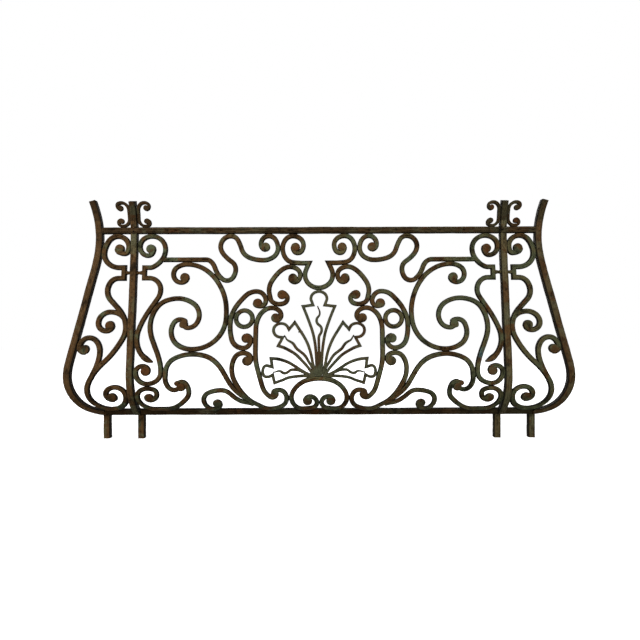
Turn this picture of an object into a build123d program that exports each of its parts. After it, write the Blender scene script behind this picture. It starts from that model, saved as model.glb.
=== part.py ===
"""Pot-bellied wrought iron balcony guard.

Scrolls of square bar fill the bay between two corner posts and the narrow wing outside each post.
Every scroll is drawn as a chain of arcs on the front elevation and cut to a pot-bellied shell.
Heights run up Z from the ends of the feet, +X runs to the right and the belly points to -Y.
"""
import math
import os

from build123d import *

# Layout of the guard, in millimetres
BAY_HALF = 740.0         # middle of the guard to the axis of a corner post
WING_WIDTH = 148.0       # the wings' scrolls are laid out in shares of this width
FOOT_LENGTH = 95.0       # end of a foot to the underside of the bottom rail
PANEL_HEIGHT = 709.0     # clear height between the two rails
HORN_HEIGHT = 101.0      # posts and end bars above the top rail

# Bar sections
RAIL = 25.0              # square bar of both rails
POST = 26.0              # square bar of posts, end bars and feet
BAR = 18.5               # square bar of the scrolls
FINIAL_BAR = 11.5        # square bar of the small scrolls above the top rail
STRIP = 10.0             # width of the palmette's strips
STRIP_DEPTH = 12.0       # depth of the palmette's strips
ROD = 8.0                # width of the wavy rods in the petals
STEM = 24.0              # width of the welded root of the palmette
STUD = 16.0              # diameter of the round studs beside the posts
FINIAL_EYE = 9.0         # radius of the snub ends above the rail
EYE_share = 0.023        # radius of the round snub end of a scroll, in half widths of the bay
WING_EYE_share = 0.115   # and of a wing's scroll, in wing widths
SEAT = 0.2               # air left between pieces that touch
LAP = 5.0                # how far the scrolls hang in front of the bottom rail
BEHIND = 200.0           # overrun of the cut that trims bars to the bottom rail

# Pot-bellied section of the guard, forward of the plane of the feet
BELLY_FORWARD = 96.0
NECK_FORWARD = 38.0
NECK_RADIUS = 433.0
LANDING_share = 0.72     # where the scrolls land in front of the bottom rail, in bar widths

# Outline of an end bar on the elevation
END_BELLY_RADIUS = 240.0
END_NECK_RADIUS = 580.0
END_BELLY_OUT_share = 1.65       # belly of an end bar outside the post, in wing widths
END_NECK_OUT_share = 0.945       # neck of an end bar outside the post, in wing widths
FOOT_OUT_share = 0.858           # foot of an end bar outside the post, in wing widths
FOOT_IN_share = 0.52             # corner foot inside the post, in widths of the post

# Heights that follow from the sizes above
PANEL_BOTTOM = FOOT_LENGTH + RAIL
PANEL_TOP = PANEL_BOTTOM + PANEL_HEIGHT
RAIL_TOP = PANEL_TOP + RAIL
HORN_TOP = RAIL_TOP + HORN_HEIGHT
BELLY_HEIGHT_share = 0.20
NECK_HEIGHT_share = 0.98
STUD_HEIGHT_share = 0.777
lyre_notch_share = 0.9405   # notch of a lyre scroll, in half widths of the bay
wing_notch_share = 0.257    # notch of a wing scroll, in wing widths
NOTCH_share = 1.15          # half height of a notch round its stud, in bar widths
RING_ACROSS_share = 0.3987
RING_HEIGHT_share = 0.5177
RING_ROOM_share = 0.0691   # middle of a ring to the middle lines of its neighbours
BELLY_HEIGHT = PANEL_BOTTOM + BELLY_HEIGHT_share * PANEL_HEIGHT
NECK_HEIGHT = PANEL_BOTTOM + NECK_HEIGHT_share * PANEL_HEIGHT
STUD_HEIGHT = PANEL_BOTTOM + STUD_HEIGHT_share * PANEL_HEIGHT
EYE = EYE_share * BAY_HALF
WING_EYE = WING_EYE_share * WING_WIDTH
ROUND_END = BAR / 2      # radius of the round end of a hook
CORNER_FOOT = BAY_HALF - FOOT_IN_share * POST   # the origin sits on the left corner foot
CORNER_REACH_share = 1.1  # straight run beside a mitred corner, in bar widths


# Chains of arcs: a station is (across, up, heading in degrees), a segment (point, angle, length, bend)

def unit(angle):
    return math.cos(angle), math.sin(angle)


def arc_to(start, angle, end):
    """One arc that leaves start at an angle and runs through end."""
    across, up = end[0] - start[0], end[1] - start[1]
    chord = math.hypot(across, up)
    swing = math.remainder(math.atan2(up, across) - angle, math.tau)
    if abs(swing) < 1e-7:
        return start, angle, chord, 0.0
    radius = chord / (2 * math.sin(swing))
    return start, angle, 2 * swing * radius, 1 / radius


def biarc(first, last):
    """Two tangent arcs between two stations."""
    a, b = math.radians(first[-1]), math.radians(last[2])
    (ax, ay), (bx, by) = unit(a), unit(b)
    vx, vy = last[0] - first[0], last[1] - first[1]
    along = vx * (ax + bx) + vy * (ay + by)
    square = vx * vx + vy * vy
    spread = 2 * (1 - ax * bx - ay * by)
    if spread < 1e-9:
        reach = square / (2 * along)
    else:
        reach = (-along + math.sqrt(along * along + spread * square)) / spread
    middle = ((first[0] + last[0] + reach * (ax - bx)) / 2, (first[1] + last[1] + reach * (ay - by)) / 2)
    head = arc_to(first[:2], a, middle)
    tail = arc_to(middle, head[1] + head[2] * head[3], last[:2])
    if head[3] == 0 and tail[3] == 0:
        return [arc_to(first[:2], a, last[:2])]
    return [head, tail]


def chain(stations):
    """Segments through a list of stations."""
    segments = []
    for first, last in zip(stations, stations[1:]):
        segments += biarc(first, last)
    return segments


def travel(segment, length, side):
    """Point beside a segment after some length, side counted to the left, and the angle there."""
    (x, y), angle, _, bend = segment
    turned = angle + bend * length
    if abs(bend) < 1e-9:
        x, y = x + length * math.cos(angle), y + length * math.sin(angle)
    else:
        x += (math.sin(turned) - math.sin(angle)) / bend
        y -= (math.cos(turned) - math.cos(angle)) / bend
    return (x - side * math.sin(turned), y + side * math.cos(turned)), turned


def mitre_point(before, after, side):
    """Corner of the outline where two straight segments meet at an angle."""
    point, turned = travel(before, before[2], 0)
    (ax, ay), (bx, by) = unit(turned), unit(after[1])
    scale = side / (1 + ax * bx + ay * by)
    return point[0] - scale * (ay + by), point[1] + scale * (ax + bx)


def is_corner(before, after):
    turned = before[1] + before[2] * before[3]
    return abs(math.remainder(turned - after[1], math.tau)) > 1e-4


def edge_line(segments, side, first, last):
    """Pieces of one edge of a band, as (start, middle, end, bend), between two places on the chain."""
    pieces = []
    for index in range(first[0], last[0] + 1):
        segment = segments[index]
        low = first[1] if index == first[0] else 0.0
        high = last[1] if index == last[0] else segment[2]
        start, end = travel(segment, low, side)[0], travel(segment, high, side)[0]
        if index > first[0] and is_corner(segments[index - 1], segment):
            start = mitre_point(segments[index - 1], segment, side)
        if index < last[0] and is_corner(segment, segments[index + 1]):
            end = mitre_point(segment, segments[index + 1], side)
        pieces.append((start, travel(segment, (low + high) / 2, side)[0], end, segment[3]))
    return pieces


def backwards(segments):
    """The same chain walked from its other end."""
    walked = []
    for segment in reversed(segments):
        point, turned = travel(segment, segment[2], 0)
        walked.append((point, turned + math.pi, segment[2], -segment[3]))
    return walked


def eye_cap(segments, half, eye):
    """Round snub end: its arc, the side it lies on and where the inner edge of the band meets it."""
    segment = segments[-1]
    side = math.copysign(half, segment[3])
    point, turned = travel(segment, segment[2], 0)
    reach = math.copysign(eye - half, segment[3])
    centre = travel(segment, segment[2], reach)[0]
    index, length = len(segments) - 1, segment[2]
    step = half / 20
    while math.dist(travel(segments[index], length, side)[0], centre) < eye:
        length -= step
        if length < 0:
            index -= 1
            length = segments[index][2]
    low, high = length, length + step
    for _ in range(40):
        middle = (low + high) / 2
        if math.dist(travel(segments[index], middle, side)[0], centre) < eye:
            high = middle
        else:
            low = middle
    meet = travel(segments[index], low, side)[0]
    start = travel(segment, segment[2], -side)[0]
    first = math.atan2(start[1] - centre[1], start[0] - centre[0])
    sweep = math.atan2(meet[1] - centre[1], meet[0] - centre[0]) - first
    sweep = sweep % math.tau if side > 0 else -((-sweep) % math.tau)
    turns = [first + sweep * part / 4 for part in range(5)]
    ring = [(centre[0] + eye * math.cos(turn), centre[1] + eye * math.sin(turn)) for turn in turns]
    ring[0], ring[4] = start, meet
    return side, (index, low), [(ring[0], ring[1], ring[2], 1.0), (ring[2], ring[3], ring[4], 1.0)]


def leaf_cap(segments, half):
    """Pointed leaf end, from the left edge round the tip to the right edge."""
    segment = segments[-1]
    (x, y), turned = travel(segment, segment[2], 0)
    ahead, beside = unit(turned), unit(turned + math.pi / 2)
    left, right = travel(segment, segment[2], half)[0], travel(segment, segment[2], -half)[0]

    def place(forward, out):
        return (x + half * (forward * ahead[0] + out * beside[0]),
                y + half * (forward * ahead[1] + out * beside[1]))

    shoulder_shares, tip_shares, back_shares = (2.4, 1.25), (6.6, -2.3), (3.0, -1.35)
    tip = place(*tip_shares)
    return [(left, place(*shoulder_shares), tip, 1.0), (tip, place(*back_shares), right, 1.0)]


def flip(pieces):
    return [(end, middle, start, bend) for start, middle, end, bend in reversed(pieces)]


def band(segments, width, start_eye=0.0, end_eye=0.0, leaf=False):
    """Closed outline of a bar that follows a chain of segments."""
    half = width / 2
    first = {1: (0, 0.0), -1: (0, 0.0)}
    last = {1: (len(segments) - 1, segments[-1][2]), -1: (len(segments) - 1, segments[-1][2])}
    end_cap = start_cap = None
    if end_eye:
        side, place, end_cap = eye_cap(segments, half, end_eye)
        last[1 if side > 0 else -1] = place
        end_cap = flip(end_cap) if side > 0 else end_cap
    if start_eye:
        walked = backwards(segments)
        side, place, start_cap = eye_cap(walked, half, start_eye)
        index = len(segments) - 1 - place[0]
        first[-1 if side > 0 else 1] = (index, segments[index][2] - place[1])
        start_cap = flip(start_cap) if side > 0 else start_cap
    left = edge_line(segments, half, first[1], last[1])
    right = flip(edge_line(segments, -half, first[-1], last[-1]))
    if leaf:
        end_cap = leaf_cap(segments, half)
    end_cap = end_cap or [(left[-1][2], None, right[0][0], 0.0)]
    start_cap = start_cap or [(right[-1][2], None, left[0][0], 0.0)]
    return left + end_cap + right + start_cap


def on_elevation(point):
    return Vector(point[0], 0, point[1])


def on_section(point):
    return Vector(0, -point[0], point[1])


def face_of(outline, place):
    """Flat face inside a closed outline."""
    edges = []
    for start, middle, end, bend in outline:
        a, b = place(start), place(end)
        if (a - b).length < 1e-6:
            continue
        if abs(bend) < 1e-9:
            edges.append(Edge.make_line(a, b))
        else:
            edges.append(Edge.make_three_point_arc(a, place(middle), b))
    return Face(Wire(edges))


# The pot-bellied section and the outline of an end bar

def pot_belly(belly, belly_radius, neck, neck_radius, under):
    """Chain up a pot-bellied line: belly arc, straight slope, neck arc flaring out to the horns."""
    rise, span = NECK_HEIGHT - BELLY_HEIGHT, neck + neck_radius - belly + belly_radius
    both = belly_radius + neck_radius
    straight = math.sqrt(rise * rise + span * span - both * both)
    slope = math.atan2(rise, span) + math.atan2(both, straight)
    start = math.pi / 2 - under
    point = (belly - belly_radius * (1 - math.cos(under)), BELLY_HEIGHT - belly_radius * math.sin(under))
    flare = math.asin((HORN_TOP - NECK_HEIGHT) / neck_radius)
    segments = [(point, start, belly_radius * (slope - start), 1 / belly_radius)]
    segments.append((travel(segments[-1], segments[-1][2], 0)[0], slope, straight, 0.0))
    bend = slope - math.pi / 2 + flare
    segments.append((travel(segments[-1], straight, 0)[0], slope, neck_radius * bend, -1 / neck_radius))
    return segments


def section_chain():
    """Middle line of the guard's section, from under the bottom rail to the top of the posts."""
    out = BELLY_FORWARD - RAIL / 2 - LANDING_share * BAR
    up = BELLY_HEIGHT - PANEL_BOTTOM
    radius = (out * out + up * up) / (2 * out)
    under = math.asin(up / radius)
    upper = pot_belly(BELLY_FORWARD, radius, NECK_FORWARD, NECK_RADIUS, under)
    foot = upper[0][0]
    drop = (foot[1] - FOOT_LENGTH) / math.sin(upper[0][1])
    low = (foot[0] - drop * math.cos(upper[0][1]), foot[1] - drop * math.sin(upper[0][1]))
    return [(low, upper[0][1], drop, 0.0)] + upper


def end_bar_chain():
    """Middle line of an end bar on the elevation, from the bottom rail up to the horn."""
    belly = BAY_HALF + END_BELLY_OUT_share * WING_WIDTH
    neck = BAY_HALF + END_NECK_OUT_share * WING_WIDTH
    upper = pot_belly(belly, END_BELLY_RADIUS, neck, END_NECK_RADIUS, 0.0)
    foot = (BAY_HALF + FOOT_OUT_share * WING_WIDTH, PANEL_BOTTOM - RAIL / 2, 0.0)
    return biarc(foot, (belly, BELLY_HEIGHT, 90.0)) + upper


def beside_end_bar(z_share):
    """Station of a scroll that touches the inner face of an end bar, heading up it."""
    height = PANEL_BOTTOM + z_share * PANEL_HEIGHT
    for segment in end_bar_chain():
        (_, low), (_, high) = travel(segment, 0.0, 0)[0], travel(segment, segment[2], 0)[0]
        if low <= height <= high:
            break
    first, last = 0.0, segment[2]
    for _ in range(50):
        middle = (first + last) / 2
        if travel(segment, middle, 0)[0][1] < height:
            first = middle
        else:
            last = middle
    point, turned = travel(segment, first, POST / 2 + BAR / 2 + SEAT)
    return point[0], point[1], math.degrees(turned)


def shell(depth):
    """Pot-bellied shell, as wide as the guard, that gives bars their depth."""
    width = 2 * (BAY_HALF + 2 * WING_WIDTH)
    face = face_of(band(section_chain(), depth), on_section)
    return extrude(face, amount=width / 2, dir=(1, 0, 0), both=True)


# Stations on the elevation, from shares read off the front view

def bay(x_share, z_share, heading):
    """Station in the bay: shares of its half width and of the panel's height."""
    return x_share * BAY_HALF, PANEL_BOTTOM + z_share * PANEL_HEIGHT, heading


def wing(x_share, z_share, heading):
    """Station in a wing: share of its width outside the post, share of the panel's height."""
    return BAY_HALF + x_share * WING_WIDTH, PANEL_BOTTOM + z_share * PANEL_HEIGHT, heading


def beside(station, side):
    """Station of a bar that touches another at a kiss: side is +1 to the left, -1 to the right."""
    x, z, heading = station
    reach = side * (BAR + SEAT) / 2
    angle = math.radians(heading)
    return x - reach * math.sin(angle), z + reach * math.cos(angle), heading


def turn_back(station):
    return station[0], station[1], station[2] + 180


def level_with(station, x_share, heading):
    """Station in the bay at the height of another one."""
    return x_share * BAY_HALF, station[1], heading


def under_rail(place, x_share, heading):
    """Station of a bar that touches the underside of the top rail, in the bay or in a wing."""
    return place(x_share, 0, heading)[0], PANEL_TOP - BAR / 2 - SEAT, heading


def on_rail(place, x_share, heading):
    """Station of a bar that lands on the bottom rail, in the bay or in a wing."""
    return place(x_share, 0, heading)[0], PANEL_BOTTOM + BAR / 2 - LAP, heading


def hook(station, radius, turn):
    """Station at the end of a round hook, turned by some degrees to the left."""
    x, z, heading = station
    length = radius * math.radians(abs(turn))
    segment = ((x, z), math.radians(heading), length, math.copysign(1 / radius, turn))
    point, turned = travel(segment, length, 0)
    return point[0], point[1], math.degrees(turned)


def inside_post(z_share, heading):
    return BAY_HALF - (POST + BAR) / 2 - SEAT, PANEL_BOTTOM + z_share * PANEL_HEIGHT, heading


def outside_post(z_share, heading, out_share=0.0):
    """Station of a bar that touches the outer side of a post, or some bar widths further out."""
    x = BAY_HALF + (POST + BAR) / 2 + SEAT + out_share * BAR
    return x, PANEL_BOTTOM + z_share * PANEL_HEIGHT, heading


def corner(station, turn_to, width):
    """Three stations of a mitred corner with a straight run on both sides."""
    x, z, heading = station
    reach = CORNER_REACH_share * width
    (ax, az), (bx, bz) = unit(math.radians(heading)), unit(math.radians(turn_to))
    return [(x - reach * ax, z - reach * az, heading), (x, z, heading, turn_to),
            (x + reach * bx, z + reach * bz, turn_to)]


def mirrored(stations):
    """The other half of a bar that crosses the middle, joined to the half given."""
    far = []
    for station in reversed(stations[1:]):
        far.append((-station[0], station[1]) + tuple(-angle for angle in reversed(station[2:])))
    return far + stations


# Places where two bars of the bay kiss, with the heading of both
CREST_CAP = bay(0.144, 0.8225, 8)
CREST_WAIST = bay(0.0875, 0.764, 90)
CREST_SIDE = bay(0.2085, 0.917, 90)
LONG_BAR = bay(0.712, 0.8385, 0)
SHOULDER = bay(0.5496, 0.7535, 51)
HOOP_TOP = bay(0.2725, 0.628, 80)
HOOP_FOOT = bay(0.233, 0.5885, 195)
GREAT_SIDE = bay(0.4845, 0.508, 97)
GREAT_FOOT = bay(0.674, 0.335, 0)
SHIELD_HIGH = bay(0.3507, 0.398, 90)
SHIELD_LOW = bay(0.3487, 0.298, 86)
HOOP_BASE = bay(0.4035, 0.3415, 0)
TALL_SIDE = bay(0.825, 0.222, 90)
TALL_TOP = bay(0.879, 0.587, 125)
TALL_FOOT = bay(0.912, 0.1455, 0)
LOW_HOOK = bay(0.7445, 0.1465, 335)
SHIELD_HOOK = bay(0.2365, 0.1045, 338)
GREAT_HOOK = bay(0.722, 0.4945, 32)
BASE_SIDE = bay(0.1605, 0.075, 90)


# Scrolls of the bay: one function for each, in the half outward of the middle

def crest_stations():
    half = [bay(0, 0.690, 0), beside(CREST_WAIST, 1)]
    half += corner(bay(0.0525, 0.831, 115), 0, BAR)
    half += [beside(CREST_CAP, 1), beside(CREST_SIDE, 1), under_rail(bay, 0.140, 180)]
    half += [bay(0.083, 0.935, 270), bay(0.115, 0.889, 360), bay(0.140, 0.922, 450)]
    return mirrored(half)


def serpentine_stations():
    level = beside(LONG_BAR, 1)
    return [bay(0.289, 0.909, 0), bay(0.314, 0.940, 90), under_rail(bay, 0.272, 180),
            turn_back(beside(CREST_SIDE, -1)), bay(0.300, 0.848, 0), bay(0.419, 0.912, 72),
            under_rail(bay, 0.478, 0), bay(0.533, 0.928, 270), bay(0.5105, 0.8756, 228),
            bay(0.4485, 0.796, 270), bay(0.4955, 0.732, 0), beside(SHOULDER, 1), bay(0.5628, 0.808, 70),
            level_with(level, 0.612, 0), level_with(level, 0.84, 0)]


def great_stations():
    return [bay(0.709, 0.750, 270), bay(0.742, 0.722, 0), bay(0.7846, 0.769, 90),
            turn_back(beside(LONG_BAR, -1)), turn_back(beside(SHOULDER, -1)),
            turn_back(beside(GREAT_SIDE, -1)), beside(GREAT_FOOT, 1), bay(0.788, 0.446, 90),
            bay(0.741, 0.5136, 180), turn_back(beside(GREAT_HOOK, 1))]


def tall_stations():
    return [bay(0.9026, 0.229, 90), bay(0.937, 0.256, 0), inside_post(0.222, 270),
            turn_back(beside(TALL_FOOT, 1)), beside(TALL_SIDE, -1), bay(0.867, 0.350, 67),
            bay(0.9005, 0.475, 90), beside(TALL_TOP, 1), bay(0.7545, 0.6315, 180), bay(0.640, 0.536, 270),
            bay(0.698, 0.467, 0), beside(GREAT_HOOK, -1)]


def lyre_stations():
    stations = [bay(0.8955, 0.914, 270), bay(0.924, 0.8756, 0), inside_post(0.928, 90)]
    stations += [under_rail(bay, 0.905, 180), bay(0.8316, 0.909, 270), bay(0.877, 0.823, 324)]
    notch = lyre_notch_share * BAY_HALF
    stations += corner((notch, STUD_HEIGHT + NOTCH_share * BAR, 0), 270, BAR)
    stations += corner((notch, STUD_HEIGHT - NOTCH_share * BAR, 270), 180, BAR)
    stations += [bay(0.851, 0.680, 270), turn_back(beside(TALL_TOP, -1)), bay(0.944, 0.500, 296)]
    return stations + [inside_post(0.405, 270), bay(0.9405, 0.319, 230)]


def corner_scroll_stations():
    return [bay(0.908, 0.0615, 180), bay(0.8635, 0.103, 90), beside(TALL_FOOT, -1), inside_post(0.080, 270),
            on_rail(bay, 0.895, 180), on_rail(bay, 0.830, 180), bay(0.741, 0.043, 142),
            bay(0.6917, 0.115, 90), bay(0.7263, 0.1694, 0), beside(LOW_HOOK, 1)]


def arch_stations():
    return [beside(LOW_HOOK, -1), bay(0.768, 0.1235, 0), bay(0.8128, 0.175, 80), beside(TALL_SIDE, 1),
            turn_back(beside(GREAT_FOOT, -1)), bay(0.557, 0.284, 219), bay(0.4767, 0.1675, 242),
            bay(0.362, 0.050, 214)]


def root_stations():
    return [bay(0.383, 0.2695, 180), beside(SHIELD_LOW, -1), beside(HOOP_BASE, -1), bay(0.4625, 0.243, 270),
            bay(0.4165, 0.117, 237), bay(0.349, 0.0435, 212), on_rail(bay, 0.268, 180),
            beside(BASE_SIDE, -1), bay(0.2135, 0.1235, 0), beside(SHIELD_HOOK, 1)]


def root_shoot_stations():
    return [bay(0.5325, 0.040, 275), on_rail(bay, 0.575, 0), bay(0.618, 0.059, 90),
            bay(0.520, 0.1215, 180), bay(0.4316, 0.063, 215), bay(0.352, 0.035, 205)]


def shield_stations():
    low = bay(0.250, 0.0785, 180)
    hook_radius_share, hook_turn = 0.95, -64
    return [bay(0.2325, 0.507, 185), bay(0.2025, 0.536, 90), turn_back(beside(HOOP_FOOT, 1)),
            bay(0.3226, 0.5248, 295), turn_back(beside(SHIELD_HIGH, 1)), turn_back(beside(SHIELD_LOW, 1)),
            bay(0.3158, 0.200, 255), bay(0.2737, 0.094, 225), low,
            hook(low, hook_radius_share * BAR, hook_turn)]


def oval_stations():
    return [bay(0.3425, 0.605, 270), bay(0.3135, 0.5875, 180), beside(HOOP_TOP, -1), bay(0.3357, 0.6713, 0),
            bay(0.435, 0.598, 307), turn_back(beside(GREAT_SIDE, 1)), turn_back(beside(HOOP_BASE, 1)),
            beside(SHIELD_HIGH, -1), bay(0.388, 0.4235, 0)]


def hoop_stations():
    return [bay(0.1545, 0.745, 265), bay(0.131, 0.7233, 180), beside(CREST_WAIST, -1),
            beside(CREST_CAP, -1), bay(0.221, 0.773, 313), bay(0.268, 0.676, 270),
            turn_back(beside(HOOP_TOP, 1)), beside(HOOP_FOOT, -1), bay(0.1695, 0.633, 90),
            bay(0.1885, 0.6625, 45)]


def base_stations():
    half = [bay(0, 0.187, 0), bay(0.112, 0.149, 318), turn_back(beside(BASE_SIDE, 1))]
    half += [on_rail(bay, 0.088, 180), ((BAR + SEAT) / 2, bay(0, 0.046, 90)[1], 90)]
    half += [bay(0.050, 0.084, 0), bay(0.076, 0.055, 270)]
    return mirrored(half)


# Scrolls of a wing

def wing_stem_stations():
    stations = [outside_post(0.915, 270, 2.51), outside_post(0.887, 180, 0.867), outside_post(0.925, 90)]
    stations += [under_rail(wing, 0.45, 0), turn_back(beside_end_bar(0.900))]
    notch = BAY_HALF + wing_notch_share * WING_WIDTH
    stations += corner((notch, STUD_HEIGHT + NOTCH_share * BAR, 180), 270, BAR)
    stations += corner((notch, STUD_HEIGHT - NOTCH_share * BAR, 270), 360, BAR)
    stations += [wing(0.68, 0.674, 270), wing(0.373, 0.575, 228), outside_post(0.470, 270)]
    stations += [wing(0.415, 0.345, 306), wing(0.959, 0.215, 306), wing(1.159, 0.108, 270)]
    stations += [on_rail(wing, 0.65, 180), outside_post(0.089, 90), wing(0.415, 0.1405, 0)]
    return stations + [wing(0.676, 0.094, 270), wing(0.505, 0.066, 170)]


def wing_curl_stations():
    return [wing(0.22, 0.525, 52), wing(0.57, 0.556, 0), wing(0.891, 0.495, 270), wing(0.664, 0.4515, 180),
            wing(0.506, 0.481, 90)]


def wing_shoot_stations():
    return [wing(1.03, 0.190, 118), wing(0.812, 0.335, 90), wing(1.118, 0.413, 0),
            turn_back(beside_end_bar(0.373)), wing(1.21, 0.334, 170)]


def finial_stations(side):
    """C scroll that stands on the top rail beside a post, outward (+1) or inward (-1) of it."""
    spine = (POST + FINIAL_BAR) / 2 + SEAT
    foot = RAIL_TOP + FINIAL_BAR / 2 + SEAT
    head = HORN_TOP - FINIAL_BAR / 2

    def place(x_share, up_share, heading):
        """Station from shares of the wing's width and of the scroll's height above its foot."""
        across = spine + x_share * WING_WIDTH
        turned = heading if side > 0 else 180 - heading
        return BAY_HALF + side * across, foot + up_share * (head - foot), turned

    return [place(0.212, 0.275, 0), place(0.298, 0.135, 270), place(0.178, 0.0, 180), place(0.0, 0.30, 90),
            place(0.0, 0.68, 90), place(0.178, 1.0, 0), place(0.298, 0.860, 270), place(0.212, 0.715, 180)]


# Solids

def bar(stations, through, width, **ends):
    """Square bar along stations on the elevation, as deep as the shell it is cut from."""
    face = face_of(band(chain(stations), width, **ends), on_elevation)
    return extrude(face, amount=BEHIND, dir=(0, 1, 0), both=True) & through


def finial(side, through):
    return bar(finial_stations(side), through, FINIAL_BAR, start_eye=FINIAL_EYE, end_eye=FINIAL_EYE)


def rail_trim():
    """Room of the bottom rail, all behind it and all below it, cut from the bars that land on it."""
    width = 2 * (BAY_HALF + 2 * WING_WIDTH)
    behind = Box(width, BEHIND, BEHIND)
    below = Box(width, 2 * BEHIND, BEHIND)
    to_back = Pos(0, BEHIND / 2 - RAIL / 2 - SEAT, PANEL_BOTTOM + SEAT - BEHIND / 2)
    to_ground = Pos(0, 0, FOOT_LENGTH + SEAT - BEHIND / 2)
    return to_back * behind + to_ground * below


def upright(x):
    """Corner post: a square bar bent to the pot-bellied section."""
    face = face_of(band(section_chain(), POST), on_section)
    return Pos(x, 0, 0) * extrude(face, amount=POST / 2, dir=(1, 0, 0), both=True)


def top_rail_bar(left, right):
    span = right - left
    return Pos((left + right) / 2, -NECK_FORWARD, PANEL_TOP + RAIL / 2) * Box(span, RAIL, RAIL)


def rail_lap(x):
    """Rear half of the top rail, cut away where a corner post passes."""
    room = POST + 2 * SEAT
    return Pos(x, BEHIND / 2 - NECK_FORWARD, PANEL_TOP + RAIL / 2) * Box(room, BEHIND, RAIL + SEAT)


def post_lap(x):
    """Front half of a corner post, cut away where the top rail passes."""
    room = RAIL + 2 * SEAT
    back = SEAT - NECK_FORWARD - BEHIND / 2
    return Pos(x, back, PANEL_TOP + RAIL / 2) * Box(2 * POST, BEHIND, room)


def foot_bar(x):
    return Pos(x, 0, (FOOT_LENGTH - SEAT) / 2) * Box(POST, POST, FOOT_LENGTH - SEAT)


def stud(left, right):
    """Round stud across the gap between a post and the notch of a scroll."""
    slope = section_chain()[2]
    forward = slope[0][0] + (STUD_HEIGHT - slope[0][1]) / math.tan(slope[1])
    place = Pos((left + right) / 2, -forward, STUD_HEIGHT) * Rot(0, 90, 0)
    return place * Cylinder(STUD / 2, right - left - 2 * SEAT)


def ring(through):
    """Plain ring held between the shield bar and the oval scroll."""
    centre, height, _ = bay(RING_ACROSS_share, RING_HEIGHT_share, 0)
    outer = RING_ROOM_share * BAY_HALF - BAR / 2 - SEAT
    spin = Pos(centre, 0, height) * Rot(90, 0, 0)
    return spin * (Cylinder(outer, 2 * BEHIND) - Cylinder(outer - BAR, 2 * BEHIND)) & through


def petal_edges():
    """Strips that bound the petals of the right half, each from a petal's head down to the root."""
    head = crest_stations()[len(crest_stations()) // 2][1] - (BAR + STRIP) / 2 - SEAT
    centre = [(0, head, 0), bay(0.043, 0.6295, 270)]
    centre += corner(bay(0.0315, 0.5925, 250), 354, STRIP)
    centre += corner(bay(0.0855, 0.5855, 354), 247, STRIP)
    centre += [bay(0.052, 0.500, 250), bay(0.025, 0.400, 260), bay(0.012, 0.215, 268)]
    upper_left = [bay(0.203, 0.4905, 180)]
    upper_left += corner(bay(0.1605, 0.4575, 242), 128, STRIP)
    upper_left += corner(bay(0.129, 0.497, 128), 237, STRIP)
    upper_left += [bay(0.0594, 0.373, 248), bay(0.020, 0.215, 254)]
    upper_right = [bay(0.203, 0.4905, 0), bay(0.2425, 0.4527, 270)]
    upper_right += corner(bay(0.194, 0.4125, 186), 297, STRIP)
    upper_right += corner(bay(0.217, 0.366, 297), 197, STRIP)
    upper_right += [bay(0.142, 0.331, 209), bay(0.0744, 0.267, 226), bay(0.022, 0.196, 232)]
    lower_top = [bay(0.2985, 0.2275, 90), bay(0.2775, 0.2585, 180)]
    lower_top += corner(bay(0.2485, 0.2505, 194), 82, STRIP)
    lower_top += corner(bay(0.2549, 0.297, 82), 183, STRIP)
    lower_top += [bay(0.1835, 0.284, 199), bay(0.1045, 0.239, 213), bay(0.028, 0.198, 202)]
    lower_foot = [bay(0.2985, 0.2275, 270), bay(0.279, 0.1965, 180)]
    lower_foot += corner(bay(0.2455, 0.2085, 150), 257, STRIP)
    lower_foot += corner(bay(0.2355, 0.163, 257), 158, STRIP)
    lower_foot += [bay(0.1835, 0.183, 153), bay(0.113, 0.200, 174), bay(0.030, 0.198, 186)]
    return centre, upper_left, upper_right, lower_top, lower_foot


def petal_rods():
    """Wavy rods that grow from the palmette's root into its petals."""
    centre = [bay(-0.007, 0.588, 285), bay(0.005, 0.548, 270), bay(-0.0123, 0.5065, 270),
              bay(0.0145, 0.456, 270), bay(-0.002, 0.406, 270), bay(0.0, 0.300, 270)]
    upper = [bay(0.186, 0.425, 235), bay(0.163, 0.394, 205), bay(0.134, 0.372, 235),
             bay(0.116, 0.347, 220), bay(0.090, 0.327, 217), bay(0.044, 0.261, 236), bay(0.020, 0.205, 240)]
    lower = [bay(0.244, 0.223, 190), bay(0.211, 0.229, 180), bay(0.182, 0.217, 180),
             bay(0.138, 0.236, 180), bay(0.098, 0.229, 204), bay(0.040, 0.200, 210)]
    return centre, upper, lower


def palmette(through):
    """Five petals of thin strip and their rods, welded at the root and seated on the base scroll."""
    crown = base_stations()[len(base_stations()) // 2]
    piece = bar([bay(0, 0.330, 270), (0, crown[1], 270)], through, STEM)
    centre, upper, lower = petal_rods()
    piece += bar(centre, through, ROD)
    half = [bar(stations, through, STRIP) for stations in petal_edges()]
    half += [bar(stations, through, ROD) for stations in (upper, lower)]
    for strip in half:
        piece += strip
        piece += mirror(strip, about=Plane.YZ)
    room = face_of(band(chain(base_stations()), BAR + 2 * SEAT), on_elevation)
    return largest(piece - extrude(room, amount=BEHIND, dir=(0, 1, 0), both=True))


def both_sides(pieces, name, piece):
    """Add a piece of the right half and its mirror image on the left."""
    pieces["right_" + name] = piece
    pieces["left_" + name] = mirror(piece, about=Plane.YZ)


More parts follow.
